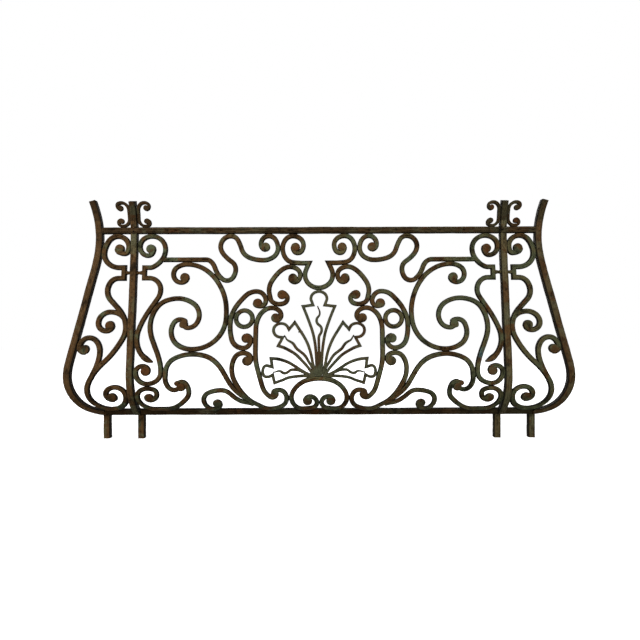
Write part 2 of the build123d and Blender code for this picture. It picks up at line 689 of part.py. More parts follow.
def frame_pieces(pieces, thick, trim):
    """Rails, posts, end bars, feet and the studs beside the posts."""
    reach = BAY_HALF + END_NECK_OUT_share * WING_WIDTH
    end_outline = band(end_bar_chain(), POST)
    end_bar = extrude(face_of(end_outline, on_elevation), amount=BEHIND, dir=(0, 1, 0), both=True) & thick
    end_bar -= trim
    far_end = mirror(end_bar, about=Plane.YZ)
    inner = BAY_HALF - POST / 2 - SEAT
    long_rail = top_rail_bar(-reach, inner) - rail_lap(-BAY_HALF) - far_end
    short_rail = top_rail_bar(inner + SEAT, reach) - rail_lap(BAY_HALF) - end_bar
    pieces["top_rail"] = long_rail
    pieces["right_return_rail"] = short_rail
    foot_x = BAY_HALF + FOOT_OUT_share * WING_WIDTH
    length = 2 * foot_x + POST
    pieces["bottom_rail"] = Pos(0, 0, FOOT_LENGTH + RAIL / 2) * Box(length, RAIL, RAIL)
    pieces["right_corner_post"] = upright(BAY_HALF) - trim - post_lap(BAY_HALF)
    pieces["left_corner_post"] = upright(-BAY_HALF) - trim - post_lap(-BAY_HALF)
    both_sides(pieces, "end_bar", end_bar)
    both_sides(pieces, "corner_foot", foot_bar(CORNER_FOOT))
    both_sides(pieces, "end_foot", foot_bar(foot_x))
    inner_notch = lyre_notch_share * BAY_HALF + BAR / 2
    outer_notch = BAY_HALF + wing_notch_share * WING_WIDTH - BAR / 2
    studs = stud(inner_notch, BAY_HALF - POST / 2) + stud(BAY_HALF + POST / 2, outer_notch)
    both_sides(pieces, "notch_studs", studs)


def largest(piece):
    """The main solid of a cut piece."""
    return max(piece.solids(), key=lambda solid: solid.volume)


def build():
    pieces = {}
    scroll_shell, thick_shell, thin_shell = shell(BAR), shell(POST), shell(STRIP_DEPTH)
    trim = rail_trim()
    frame_pieces(pieces, thick_shell, trim)
    finial_shell = shell(FINIAL_BAR)

    def scroll(stations, end):
        """Scroll bar with a snub end at its start and an end of some radius."""
        return bar(stations, scroll_shell, BAR, start_eye=EYE, end_eye=end)

    pieces["crest_scroll"] = scroll(crest_stations(), EYE)
    pieces["base_scroll"] = scroll(base_stations(), EYE) - trim
    pieces["palmette"] = palmette(thin_shell)

    lyre = bar(lyre_stations(), scroll_shell, BAR, start_eye=EYE, leaf=True)
    both_sides(pieces, "lyre_scroll", lyre)
    serpentine = bar(serpentine_stations(), scroll_shell, BAR, start_eye=EYE) - lyre
    both_sides(pieces, "serpentine_bar", largest(serpentine))
    both_sides(pieces, "great_scroll", scroll(great_stations(), ROUND_END))
    both_sides(pieces, "tall_scroll", scroll(tall_stations(), ROUND_END))
    both_sides(pieces, "hoop_scroll", scroll(hoop_stations(), EYE))
    both_sides(pieces, "oval_scroll", scroll(oval_stations(), EYE))
    both_sides(pieces, "shield_bar", scroll(shield_stations(), ROUND_END))
    both_sides(pieces, "ring", ring(scroll_shell))
    root = scroll(root_stations(), ROUND_END)
    root += bar(arch_stations(), scroll_shell, BAR, start_eye=ROUND_END)
    root += bar(root_shoot_stations(), scroll_shell, BAR, start_eye=EYE)
    both_sides(pieces, "root_scroll", root - trim)
    both_sides(pieces, "corner_scroll", scroll(corner_scroll_stations(), ROUND_END) - trim)

    stem = bar(wing_stem_stations(), scroll_shell, BAR, start_eye=WING_EYE, end_eye=WING_EYE)
    stem += bar(wing_curl_stations(), scroll_shell, BAR, end_eye=WING_EYE)
    stem += bar(wing_shoot_stations(), scroll_shell, BAR, end_eye=WING_EYE)
    both_sides(pieces, "wing_scroll", stem - trim)
    for side, name in ((1, "outer_finial"), (-1, "inner_finial")):
        both_sides(pieces, name, finial(side, finial_shell))
    return pieces


if __name__ == "__main__":
    os.makedirs("parts", exist_ok=True)
    for name, piece in build().items():
        export_step(Pos(CORNER_FOOT, 0, 0) * piece, f"parts/{name}.step")
        print(name, len(piece.solids()), round(piece.volume))
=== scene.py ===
"""Worn wrought iron balcony guard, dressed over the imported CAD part.

Every bar is forged by one Geometry Nodes tree: it sweeps a square section along a chain of arcs,
dents it, rounds its ends and bends it onto the pot-bellied shell. All lengths are in metres.
"""
import math

import bpy
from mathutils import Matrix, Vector


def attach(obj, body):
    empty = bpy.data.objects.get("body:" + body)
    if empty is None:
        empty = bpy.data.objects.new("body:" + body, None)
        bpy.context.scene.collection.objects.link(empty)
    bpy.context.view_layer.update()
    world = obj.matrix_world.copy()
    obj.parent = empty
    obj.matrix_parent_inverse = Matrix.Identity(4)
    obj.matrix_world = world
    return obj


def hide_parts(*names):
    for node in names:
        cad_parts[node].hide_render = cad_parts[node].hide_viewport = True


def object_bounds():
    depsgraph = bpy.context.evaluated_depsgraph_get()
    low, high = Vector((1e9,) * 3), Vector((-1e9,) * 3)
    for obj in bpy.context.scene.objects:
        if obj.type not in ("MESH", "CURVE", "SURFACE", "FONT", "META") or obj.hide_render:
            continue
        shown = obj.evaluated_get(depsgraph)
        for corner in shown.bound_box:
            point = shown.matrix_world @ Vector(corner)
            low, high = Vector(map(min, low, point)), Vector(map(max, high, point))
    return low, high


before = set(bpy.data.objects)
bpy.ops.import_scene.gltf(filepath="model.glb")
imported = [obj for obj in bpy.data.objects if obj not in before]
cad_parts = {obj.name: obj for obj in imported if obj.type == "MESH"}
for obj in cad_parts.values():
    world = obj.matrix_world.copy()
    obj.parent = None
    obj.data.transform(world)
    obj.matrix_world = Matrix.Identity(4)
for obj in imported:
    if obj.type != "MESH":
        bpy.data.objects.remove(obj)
CAD_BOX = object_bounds()

# Layout of the guard, as in the solids
BAY_HALF = 0.740         # middle of the guard to the axis of a corner post
WING_WIDTH = 0.148       # the wings' scrolls are laid out in shares of this width
FOOT_LENGTH = 0.095      # end of a foot to the underside of the bottom rail
PANEL_HEIGHT = 0.709     # clear height between the two rails
HORN_HEIGHT = 0.101      # posts and end bars above the top rail

# Bar sections, as in the solids
RAIL = 0.025             # square bar of both rails
POST = 0.026             # square bar of posts, end bars and feet
BAR = 0.0185             # square bar of the scrolls
FINIAL_BAR = 0.0115      # square bar of the small scrolls above the top rail
STRIP = 0.010            # width of the palmette's strips
STRIP_DEPTH = 0.012      # depth of the palmette's strips
STEM = 0.024             # width of the welded root of the palmette
STUD = 0.016             # diameter of the studs beside the posts
SEAT = 0.0002            # air left between pieces that touch
LAP = 0.005              # how far the scrolls hang in front of the bottom rail

# Pot-bellied section of the guard, forward of the plane of the feet
BELLY_FORWARD = 0.096
NECK_FORWARD = 0.038
NECK_RADIUS = 0.433
LANDING_share = 0.72     # where the scrolls land in front of the bottom rail, in bar widths

# Outline of an end bar on the elevation
END_BELLY_RADIUS = 0.240
END_NECK_RADIUS = 0.580
END_BELLY_OUT_share = 1.65   # belly of an end bar outside the post, in wing widths
END_NECK_OUT_share = 0.945   # neck of an end bar outside the post, in wing widths
FOOT_OUT_share = 0.858       # foot of an end bar outside the post, in wing widths
FOOT_IN_share = 0.52         # corner foot inside the post, in widths of the post

# Heights that follow from the sizes above
PANEL_BOTTOM = FOOT_LENGTH + RAIL
PANEL_TOP = PANEL_BOTTOM + PANEL_HEIGHT
RAIL_TOP = PANEL_TOP + RAIL
HORN_TOP = RAIL_TOP + HORN_HEIGHT
BELLY_HEIGHT_share = 0.20
NECK_HEIGHT_share = 0.98
STUD_HEIGHT_share = 0.777
lyre_notch_share = 0.9405    # notch of a lyre scroll, in half widths of the bay
wing_notch_share = 0.257     # notch of a wing scroll, in wing widths
NOTCH_share = 1.15           # half height of a notch round its stud, in bar widths
RING_ACROSS_share = 0.3987
RING_HEIGHT_share = 0.5177
RING_ROOM_share = 0.0691     # middle of a ring to the middle lines of its neighbours
CORNER_REACH_share = 1.1     # straight run beside a mitred corner, in bar widths
BELLY_HEIGHT = PANEL_BOTTOM + BELLY_HEIGHT_share * PANEL_HEIGHT
NECK_HEIGHT = PANEL_BOTTOM + NECK_HEIGHT_share * PANEL_HEIGHT
STUD_HEIGHT = PANEL_BOTTOM + STUD_HEIGHT_share * PANEL_HEIGHT
CORNER_FOOT = BAY_HALF - FOOT_IN_share * POST   # the origin sits on the left corner foot
MIDDLE = CORNER_FOOT     # the guard's middle line
HALVES = (("left_", -1), ("right_", 1))

# Forged ends, welds and edges
EYE = 0.0195             # radius of the snub end of a scroll
WING_EYE = EYE           # and of a wing's scroll
FINIAL_EYE = 0.0112      # and of a small scroll above the top rail
KNUCKLE = 0.0112         # radius of the swollen end of a hook
LUMP = 0.0175            # radius of the weld where two hooks meet
LUMP_DROP = 0.005        # weld below the place where the hooks touch
LUMP_IN = 0.010          # the corner scroll's weld lies nearer the middle
RIVET = 0.0042           # radius of the rivet at the left post
RAIL_GAP = 0.003         # between the front rail and the right return rail
EDGE = 0.0024            # rounding of the frame's edges
ROUNDED = 0.0060         # rounding of the scrolls' edges
FINIAL_EDGE_share = 0.6  # rounding of the small scrolls, in frame edges
STRIP_EDGE_share = 0.5   # and of the palmette's strips
STUD_EDGE_share = 0.45   # rounding that makes the studs nearly round, in stud diameters
DOME_share = 0.545       # half depth of a domed snub end, in bar depths

# Bars as worn and painted over, in shares of their own thickness
SCROLL_BAR_share = 1.05
WING_BAR_share = 1.12    # the wings' bars are a little stouter
STRIP_share = 1.16
ROD_share = 1.10         # wavy rods
ROD_TIP_share = 0.42     # a rod's thin tip
SPUR_share = 0.6         # torn spur on the left petal
LAP_share = 0.8          # post where the top rail crosses it
STUD_WAIST_share = 0.75
STUD_BEAD_share = 0.30   # a bead stands out from the waist by this much
BUNDLE_shares = (0.10, 0.30)   # strips bundled at the palmette's root, in stem widths off the middle
BUNDLE_TOP_share = 0.335       # top of that bundle, in panel heights

# Leaf that ends a lyre scroll
LEAF_LENGTH_share = 2.9  # in bar widths
LEAF_SWELL_share = 0.32
LEAF_TIP_share = 0.34
LEAF_LEAN = -0.62        # radians
LEAF_RINGS = 9
LEAF_POWER = 3           # how late the leaf narrows

# Rings along a bar and points round its section
RING_STEP = 0.005
TURN_STEP = math.radians(12)
NO_TURN = 1e-3           # radians below which two segments run straight on
SECTION_CUTS = 2         # points that part each face
ROUND_POINTS = 3         # points round each edge
DISC_SIDES = 12
DISC_RINGS = 3
DISC_FILL = 2

# Hammer marks and stray lines: noise stays near its middle, so a gain stretches it to the sizes given
DENT = 0.00030           # depth of hammer marks
DENT_GAIN = 5.0
DENT_MIDDLE = 0.56
DENT_SCALE = 95.0        # marks in a metre
DENT_DETAIL = 2.0
WAVE = 0.0007            # how far the bars stray from a true line
WAVE_GAIN = 4.0
WAVE_SCALE = 9.0         # wanders in a metre
WAVE_DETAIL = 1.0
RAY_AWAY = 1.0           # rays that find the shell start this far in front of the feet
LEAST_FRONT_share = 0.5  # a bar grows no deeper than where this much of the shell looks forward

# Directions
FRONTWARD = (0.0, -1.0, 0.0)
BACKWARD = (0.0, 1.0, 0.0)
SIDEWARD = (1.0, 0.0, 0.0)

# Colours of the finish
RUST = (0.100, 0.036, 0.011, 1.0)
# near black: soot and grime, and also the painted shade on the bars' sides
SOOT_AND_SHADE = (0.0045, 0.0038, 0.0026, 1.0)
BARE = (0.150, 0.140, 0.085, 1.0)   # rubbed, chalky paint
PATINA = (0.060, 0.200, 0.220, 1.0)
WHITE = (1.0, 1.0, 1.0, 1.0)

# Noise of the finish: number in a metre, detail, distortion
NOISE_ROUGHNESS = 0.62
WEATHER_NOISE = (9.5, 3.0, 0.5)
RUST_NOISE = (12.0, 4.0, 0.6)
SHEEN_NOISE = (52.0, 4.0, 0.0)
GRAIN_NOISE = (240.0, 5.0, 0.0)

# Patches of the finish: number in a metre, detail, distortion, levels between which they set in
GREEN_PATCHES = (9.0, 2.0, 0.4, 0.42, 0.58)
BROWN_PATCHES = (14.0, 3.0, 0.3, 0.42, 0.58)
STAIN_PATCHES = (17.0, 4.0, 0.5, 0.48, 0.30)
GRIME_PATCHES = (90.0, 4.0, 0.3, 0.52, 0.30)
RUBBED_PATCHES = (70.0, 4.0, 0.0, 0.50, 0.68)
SPECK_PATCHES = (520.0, 2.0, 0.0, 0.60, 0.70)
PATINA_PATCHES = (60.0, 3.0, 0.0, 0.35, 0.55)

# Wear: how strong each layer is and the levels between which it sets in
WEATHER_SLOPE = 0.08     # the paint is better kept towards the right
BROWN_BEFORE = 0.04      # brown sets in this far under its level
BROWN_AFTER = 0.05       # and is full this far over it
RUST_LEVELS = (0.56, 0.72)
KNOB_RUST = 0.10         # snub ends rust sooner
RUST_share = 0.75
STAIN_share = 0.80
GRIME_share = 0.45
RUBBED_share = 0.30
RUBBED_EDGES = (0.55, 0.85)
SPECK_share = 0.15
# Painted shade: the sides of the bars and the rims of their fronts are darkened towards near black
SHADE_SIDE_LEVELS = (0.46, -0.12)    # painted shade, from a bar's front to its sides
SIDE_SHADE_share = 0.94
OUTER_SHADE_LEVELS = (0.10, 0.45)    # painted shade is lighter on sides that look away from the middle
OUTER_SHADE_CUT_share = 0.56
JOINT_SOOT_share = 0.9         # ends of the rails at the right post
POST_HORN_SOOT_share = 0.55
END_HORN_SOOT_share = 0.45
KNOB_FRONT = 0.5               # a snub end's front looks forward by more than this
PATINA_LEVELS = (-0.20, 0.42)  # patina keeps to the fronts
PATINA_ACROSS = 0.640          # a turquoise stain on the right tall scroll
PATINA_FORWARD = 0.070
PATINA_HEIGHT = 0.346
PATINA_REACH = 0.050
SPECULAR = 0.02          # old paint, nearly matt
SHEEN_LEAST = 0.44       # roughness of the smoothest spots
SHEEN_SPREAD = 0.40
GRAIN_RUST = 0.7         # rust is coarser
GRAIN_STRENGTH = 0.45
GRAIN_HEIGHT = 0.0009

# Stage, with places measured from the guard's origin
WORLD_FILL = 0.12
FLOOR_HALF = 6.0
FLOOR_SHADE = (0.15, 0.15, 0.15, 1.0)   # as the object is lit by it
FLOOR_COLOUR = (0.80, 0.80, 0.80, 1.0)  # as it is seen
FLOOR_FADE = (0.6, 1.6)  # from the guard's middle
FLOOR_GLOW_NEAR = 0.72
FLOOR_GLOW_MORE = 0.28   # added where the floor has faded to white
AIM_HEIGHT = 0.5
LAMPS = (                # name, place, diameter, power in watts
    ("key light", (-0.8, -2.5, 2.7), 1.0, 93.0),
    ("front light", (1.0, -3.3, 0.9), 1.5, 27.0),
    ("back light", (1.526, 3.2, 1.9), 2.0, 75.0),
    ("left light", (-2.474, -0.2, 1.4), 1.5, 26.0),
    ("right light", (3.926, -0.2, 1.4), 1.5, 26.0))
CAMERA_AWAY = 2.0        # in front of the top rail
CAMERA_HEIGHT = 0.481
CAMERA_ACROSS = 0.004    # right of the guard's middle
CAMERA_ROLL = math.radians(0.15)
SENSOR = 36.0            # millimetres
FOCAL_share = 500 / 640  # focal length in widths of the picture


# Chains of arcs: a station is (across, up, heading in degrees), a segment (point, angle, length, bend)

def unit(angle):
    return math.cos(angle), math.sin(angle)


def arc_to(start, angle, end):
    """One arc that leaves start at an angle and runs through end."""
    across, up = end[0] - start[0], end[1] - start[1]
    chord = math.hypot(across, up)
    swing = math.remainder(math.atan2(up, across) - angle, math.tau)
    if abs(swing) < 1e-7:
        return start, angle, chord, 0.0
    radius = chord / (2 * math.sin(swing))
    return start, angle, 2 * swing * radius, 1 / radius


def biarc(first, last):
    """Two tangent arcs between two stations."""
    a, b = math.radians(first[-1]), math.radians(last[2])
    (ax, ay), (bx, by) = unit(a), unit(b)
    vx, vy = last[0] - first[0], last[1] - first[1]
    along = vx * (ax + bx) + vy * (ay + by)
    square = vx * vx + vy * vy
    spread = 2 * (1 - ax * bx - ay * by)
    if spread < 1e-9:
        reach = square / (2 * along)
    else:
        reach = (-along + math.sqrt(along * along + spread * square)) / spread
    middle = ((first[0] + last[0] + reach * (ax - bx)) / 2, (first[1] + last[1] + reach * (ay - by)) / 2)
    head = arc_to(first[:2], a, middle)
    tail = arc_to(middle, head[1] + head[2] * head[3], last[:2])
    if head[3] == 0 and tail[3] == 0:
        return [arc_to(first[:2], a, last[:2])]
    return [head, tail]


def chain(stations):
    """Segments through a list of stations."""
    segments = []
    for first, last in zip(stations, stations[1:]):
        segments += biarc(first, last)
    return segments


def travel(segment, length, side):
    """Point beside a segment after some length, side counted to the left, and the angle there."""
    (x, y), angle, _, bend = segment
    turned = angle + bend * length
    if abs(bend) < 1e-9:
        x, y = x + length * math.cos(angle), y + length * math.sin(angle)
    else:
        x += (math.sin(turned) - math.sin(angle)) / bend
        y -= (math.cos(turned) - math.cos(angle)) / bend
    return (x - side * math.sin(turned), y + side * math.cos(turned)), turned


# The pot-bellied section and the outline of an end bar

def pot_belly(belly, belly_radius, neck, neck_radius, under):
    """Chain up a pot-bellied line: belly arc, straight slope, neck arc flaring out to the horns."""
    rise, span = NECK_HEIGHT - BELLY_HEIGHT, neck + neck_radius - belly + belly_radius
    both = belly_radius + neck_radius
    straight = math.sqrt(rise * rise + span * span - both * both)
    slope = math.atan2(rise, span) + math.atan2(both, straight)
    start = math.pi / 2 - under
    point = (belly - belly_radius * (1 - math.cos(under)), BELLY_HEIGHT - belly_radius * math.sin(under))
    flare = math.asin((HORN_TOP - NECK_HEIGHT) / neck_radius)
    segments = [(point, start, belly_radius * (slope - start), 1 / belly_radius)]
    segments.append((travel(segments[-1], segments[-1][2], 0)[0], slope, straight, 0.0))
    bend = slope - math.pi / 2 + flare
    segments.append((travel(segments[-1], straight, 0)[0], slope, neck_radius * bend, -1 / neck_radius))
    return segments


def section_chain():
    """Middle line of the guard's section, from under the bottom rail to the top of the posts."""
    out = BELLY_FORWARD - RAIL / 2 - LANDING_share * BAR
    up = BELLY_HEIGHT - PANEL_BOTTOM
    radius = (out * out + up * up) / (2 * out)
    under = math.asin(up / radius)
    upper = pot_belly(BELLY_FORWARD, radius, NECK_FORWARD, NECK_RADIUS, under)
    foot = upper[0][0]
    drop = (foot[1] - FOOT_LENGTH) / math.sin(upper[0][1])
    low = (foot[0] - drop * math.cos(upper[0][1]), foot[1] - drop * math.sin(upper[0][1]))
    return [(low, upper[0][1], drop, 0.0)] + upper


def end_bar_chain():
    """Middle line of an end bar on the elevation, from the bottom rail up to the horn."""
    belly = BAY_HALF + END_BELLY_OUT_share * WING_WIDTH
    neck = BAY_HALF + END_NECK_OUT_share * WING_WIDTH
    upper = pot_belly(belly, END_BELLY_RADIUS, neck, END_NECK_RADIUS, 0.0)
    foot = (BAY_HALF + FOOT_OUT_share * WING_WIDTH, PANEL_BOTTOM - RAIL / 2, 0.0)
    return biarc(foot, (belly, BELLY_HEIGHT, 90.0)) + upper


def beside_end_bar(z_share):
    """Station of a scroll that touches the inner face of an end bar, heading up it."""
    height = PANEL_BOTTOM + z_share * PANEL_HEIGHT
    for segment in end_bar_chain():
        (_, low), (_, high) = travel(segment, 0.0, 0)[0], travel(segment, segment[2], 0)[0]
        if low <= height <= high:
            break
    first, last = 0.0, segment[2]
    for _ in range(50):
        middle = (first + last) / 2
        if travel(segment, middle, 0)[0][1] < height:
            first = middle
        else:
            last = middle
    point, turned = travel(segment, first, POST / 2 + BAR / 2 + SEAT)
    return point[0], point[1], math.degrees(turned)


# Stations on the elevation, from shares read off the front view

def bay(x_share, z_share, heading):
    """Station in the bay: shares of its half width and of the panel's height."""
    return x_share * BAY_HALF, PANEL_BOTTOM + z_share * PANEL_HEIGHT, heading


def wing(x_share, z_share, heading):
    """Station in a wing: share of its width outside the post, share of the panel's height."""
    return BAY_HALF + x_share * WING_WIDTH, PANEL_BOTTOM + z_share * PANEL_HEIGHT, heading


def beside(station, side):
    """Station of a bar that touches another at a kiss: side is +1 to the left, -1 to the right."""
    x, z, heading = station
    reach = side * (BAR + SEAT) / 2
    angle = math.radians(heading)
    return x - reach * math.sin(angle), z + reach * math.cos(angle), heading


def turn_back(station):
    return station[0], station[1], station[2] + 180


def level_with(station, x_share, heading):
    """Station in the bay at the height of another one."""
    return x_share * BAY_HALF, station[1], heading


def under_rail(place, x_share, heading):
    """Station of a bar that touches the underside of the top rail, in the bay or in a wing."""
    return place(x_share, 0, heading)[0], PANEL_TOP - BAR / 2 - SEAT, heading


def on_rail(place, x_share, heading):
    """Station of a bar that lands on the bottom rail, in the bay or in a wing."""
    return place(x_share, 0, heading)[0], PANEL_BOTTOM + BAR / 2 - LAP, heading


def hook(station, radius, turn):
    """Station at the end of a round hook, turned by some degrees to the left."""
    x, z, heading = station
    length = radius * math.radians(abs(turn))
    segment = ((x, z), math.radians(heading), length, math.copysign(1 / radius, turn))
    point, turned = travel(segment, length, 0)
    return point[0], point[1], math.degrees(turned)


def inside_post(z_share, heading):
    return BAY_HALF - (POST + BAR) / 2 - SEAT, PANEL_BOTTOM + z_share * PANEL_HEIGHT, heading


def outside_post(z_share, heading, out_share=0.0):
    """Station of a bar that touches the outer side of a post, or some bar widths further out."""
    x = BAY_HALF + (POST + BAR) / 2 + SEAT + out_share * BAR
    return x, PANEL_BOTTOM + z_share * PANEL_HEIGHT, heading


def corner(station, turn_to, width):
    """Three stations of a mitred corner with a straight run on both sides."""
    x, z, heading = station
    reach = CORNER_REACH_share * width
    (ax, az), (bx, bz) = unit(math.radians(heading)), unit(math.radians(turn_to))
    return [(x - reach * ax, z - reach * az, heading), (x, z, heading, turn_to),
            (x + reach * bx, z + reach * bz, turn_to)]


def mirrored(stations):
    """The other half of a bar that crosses the middle, joined to the half given."""
    far = []
    for station in reversed(stations[1:]):
        far.append((-station[0], station[1]) + tuple(-angle for angle in reversed(station[2:])))
    return far + stations


# Places where two bars of the bay kiss, with the heading of both
CREST_CAP = bay(0.144, 0.8225, 8)
CREST_WAIST = bay(0.0875, 0.764, 90)
CREST_SIDE = bay(0.2085, 0.917, 90)
LONG_BAR = bay(0.712, 0.8385, 0)
SHOULDER = bay(0.5496, 0.7535, 51)
HOOP_TOP = bay(0.2725, 0.628, 80)
HOOP_FOOT = bay(0.233, 0.5885, 195)
GREAT_SIDE = bay(0.4845, 0.508, 97)
GREAT_FOOT = bay(0.674, 0.335, 0)
SHIELD_HIGH = bay(0.3507, 0.398, 90)
SHIELD_LOW = bay(0.3487, 0.298, 86)
HOOP_BASE = bay(0.4035, 0.3415, 0)
TALL_SIDE = bay(0.825, 0.222, 90)
TALL_TOP = bay(0.879, 0.587, 125)
TALL_FOOT = bay(0.912, 0.1455, 0)
LOW_HOOK = bay(0.7445, 0.1465, 335)
SHIELD_HOOK = bay(0.2365, 0.1045, 338)
GREAT_HOOK = bay(0.722, 0.4945, 32)
BASE_SIDE = bay(0.1605, 0.075, 90)


# Scrolls of the bay: one function for each, in the half outward of the middle

def crest_stations():
    half = [bay(0, 0.690, 0), beside(CREST_WAIST, 1)]
    half += corner(bay(0.0525, 0.831, 115), 0, BAR)
    half += [beside(CREST_CAP, 1), beside(CREST_SIDE, 1), under_rail(bay, 0.140, 180)]
    half += [bay(0.083, 0.935, 270), bay(0.115, 0.889, 360), bay(0.140, 0.922, 450)]
    return mirrored(half)


def serpentine_stations():
    level = beside(LONG_BAR, 1)
    return [bay(0.289, 0.909, 0), bay(0.314, 0.940, 90), under_rail(bay, 0.272, 180),
            turn_back(beside(CREST_SIDE, -1)), bay(0.300, 0.848, 0), bay(0.419, 0.912, 72),
            under_rail(bay, 0.478, 0), bay(0.533, 0.928, 270), bay(0.5105, 0.8756, 228),
            bay(0.4485, 0.796, 270), bay(0.4955, 0.732, 0), beside(SHOULDER, 1), bay(0.5628, 0.808, 70),
            level_with(level, 0.612, 0), level_with(level, 0.84, 0)]


def great_stations():
    return [bay(0.709, 0.750, 270), bay(0.742, 0.722, 0), bay(0.7846, 0.769, 90),
            turn_back(beside(LONG_BAR, -1)), turn_back(beside(SHOULDER, -1)),
            turn_back(beside(GREAT_SIDE, -1)), beside(GREAT_FOOT, 1), bay(0.788, 0.446, 90),
            bay(0.741, 0.5136, 180), turn_back(beside(GREAT_HOOK, 1))]


def tall_stations():
    return [bay(0.9026, 0.229, 90), bay(0.937, 0.256, 0), inside_post(0.222, 270),
            turn_back(beside(TALL_FOOT, 1)), beside(TALL_SIDE, -1), bay(0.867, 0.350, 67),
            bay(0.9005, 0.475, 90), beside(TALL_TOP, 1), bay(0.7545, 0.6315, 180), bay(0.640, 0.536, 270),
            bay(0.698, 0.467, 0), beside(GREAT_HOOK, -1)]


def lyre_stations():
    stations = [bay(0.8955, 0.914, 270), bay(0.924, 0.8756, 0), inside_post(0.928, 90)]
    stations += [under_rail(bay, 0.905, 180), bay(0.8316, 0.909, 270), bay(0.877, 0.823, 324)]
    notch = lyre_notch_share * BAY_HALF
    stations += corner((notch, STUD_HEIGHT + NOTCH_share * BAR, 0), 270, BAR)
    stations += corner((notch, STUD_HEIGHT - NOTCH_share * BAR, 270), 180, BAR)
    stations += [bay(0.851, 0.680, 270), turn_back(beside(TALL_TOP, -1)), bay(0.944, 0.500, 296)]
    return stations + [inside_post(0.405, 270), bay(0.9405, 0.319, 230)]


def corner_scroll_stations():
    return [bay(0.908, 0.0615, 180), bay(0.8635, 0.103, 90), beside(TALL_FOOT, -1), inside_post(0.080, 270),
            on_rail(bay, 0.895, 180), on_rail(bay, 0.830, 180), bay(0.741, 0.043, 142),
            bay(0.6917, 0.115, 90), bay(0.7263, 0.1694, 0), beside(LOW_HOOK, 1)]


def arch_stations():
    return [beside(LOW_HOOK, -1), bay(0.768, 0.1235, 0), bay(0.8128, 0.175, 80), beside(TALL_SIDE, 1),
            turn_back(beside(GREAT_FOOT, -1)), bay(0.557, 0.284, 219), bay(0.4767, 0.1675, 242),
            bay(0.362, 0.050, 214)]


def root_stations():
    return [bay(0.383, 0.2695, 180), beside(SHIELD_LOW, -1), beside(HOOP_BASE, -1), bay(0.4625, 0.243, 270),
            bay(0.4165, 0.117, 237), bay(0.349, 0.0435, 212), on_rail(bay, 0.268, 180),
            beside(BASE_SIDE, -1), bay(0.2135, 0.1235, 0), beside(SHIELD_HOOK, 1)]


def root_shoot_stations():
    return [bay(0.5325, 0.040, 275), on_rail(bay, 0.575, 0), bay(0.618, 0.059, 90),
            bay(0.520, 0.1215, 180), bay(0.4316, 0.063, 215), bay(0.352, 0.035, 205)]


def shield_stations():
    low = bay(0.250, 0.0785, 180)
    hook_radius_share, hook_turn = 0.95, -64
    return [bay(0.2325, 0.507, 185), bay(0.2025, 0.536, 90), turn_back(beside(HOOP_FOOT, 1)),
            bay(0.3226, 0.5248, 295), turn_back(beside(SHIELD_HIGH, 1)), turn_back(beside(SHIELD_LOW, 1)),
            bay(0.3158, 0.200, 255), bay(0.2737, 0.094, 225), low,
            hook(low, hook_radius_share * BAR, hook_turn)]


def oval_stations():
    return [bay(0.3425, 0.605, 270), bay(0.3135, 0.5875, 180), beside(HOOP_TOP, -1), bay(0.3357, 0.6713, 0),
            bay(0.435, 0.598, 307), turn_back(beside(GREAT_SIDE, 1)), turn_back(beside(HOOP_BASE, 1)),
            beside(SHIELD_HIGH, -1), bay(0.388, 0.4235, 0)]


def hoop_stations():
    return [bay(0.1545, 0.745, 265), bay(0.131, 0.7233, 180), beside(CREST_WAIST, -1),
            beside(CREST_CAP, -1), bay(0.221, 0.773, 313), bay(0.268, 0.676, 270),
            turn_back(beside(HOOP_TOP, 1)), beside(HOOP_FOOT, -1), bay(0.1695, 0.633, 90),
            bay(0.1885, 0.6625, 45)]


def base_stations():
    half = [bay(0, 0.187, 0), bay(0.112, 0.149, 318), turn_back(beside(BASE_SIDE, 1))]
    half += [on_rail(bay, 0.088, 180), ((BAR + SEAT) / 2, bay(0, 0.046, 90)[1], 90)]
    half += [bay(0.050, 0.084, 0), bay(0.076, 0.055, 270)]
    return mirrored(half)


# Scrolls of a wing

def wing_stem_stations():
    stations = [outside_post(0.915, 270, 2.51), outside_post(0.887, 180, 0.867), outside_post(0.925, 90)]
    stations += [under_rail(wing, 0.45, 0), turn_back(beside_end_bar(0.900))]
    notch = BAY_HALF + wing_notch_share * WING_WIDTH
    stations += corner((notch, STUD_HEIGHT + NOTCH_share * BAR, 180), 270, BAR)
    stations += corner((notch, STUD_HEIGHT - NOTCH_share * BAR, 270), 360, BAR)
    stations += [wing(0.68, 0.674, 270), wing(0.373, 0.575, 228), outside_post(0.470, 270)]
    stations += [wing(0.415, 0.345, 306), wing(0.959, 0.215, 306), wing(1.159, 0.108, 270)]
    stations += [on_rail(wing, 0.65, 180), outside_post(0.089, 90), wing(0.415, 0.1405, 0)]
    return stations + [wing(0.676, 0.094, 270), wing(0.505, 0.066, 170)]


def wing_curl_stations():
    return [wing(0.22, 0.525, 52), wing(0.57, 0.556, 0), wing(0.891, 0.495, 270), wing(0.664, 0.4515, 180),
            wing(0.506, 0.481, 90)]


def wing_shoot_stations():
    return [wing(1.03, 0.190, 118), wing(0.812, 0.335, 90), wing(1.118, 0.413, 0),
            turn_back(beside_end_bar(0.373)), wing(1.21, 0.334, 170)]


def finial_stations(side):
    """C scroll that stands on the top rail beside a post, outward (+1) or inward (-1) of it."""
    spine = (POST + FINIAL_BAR) / 2 + SEAT
    foot = RAIL_TOP + FINIAL_BAR / 2 + SEAT
    head = HORN_TOP - FINIAL_BAR / 2

    def place(x_share, up_share, heading):
        """Station from shares of the wing's width and of the scroll's height above its foot."""
        across = spine + x_share * WING_WIDTH
        turned = heading if side > 0 else 180 - heading
        return BAY_HALF + side * across, foot + up_share * (head - foot), turned

    return [place(0.212, 0.275, 0), place(0.298, 0.135, 270), place(0.178, 0.0, 180), place(0.0, 0.30, 90),
            place(0.0, 0.68, 90), place(0.178, 1.0, 0), place(0.298, 0.860, 270), place(0.212, 0.715, 180)]


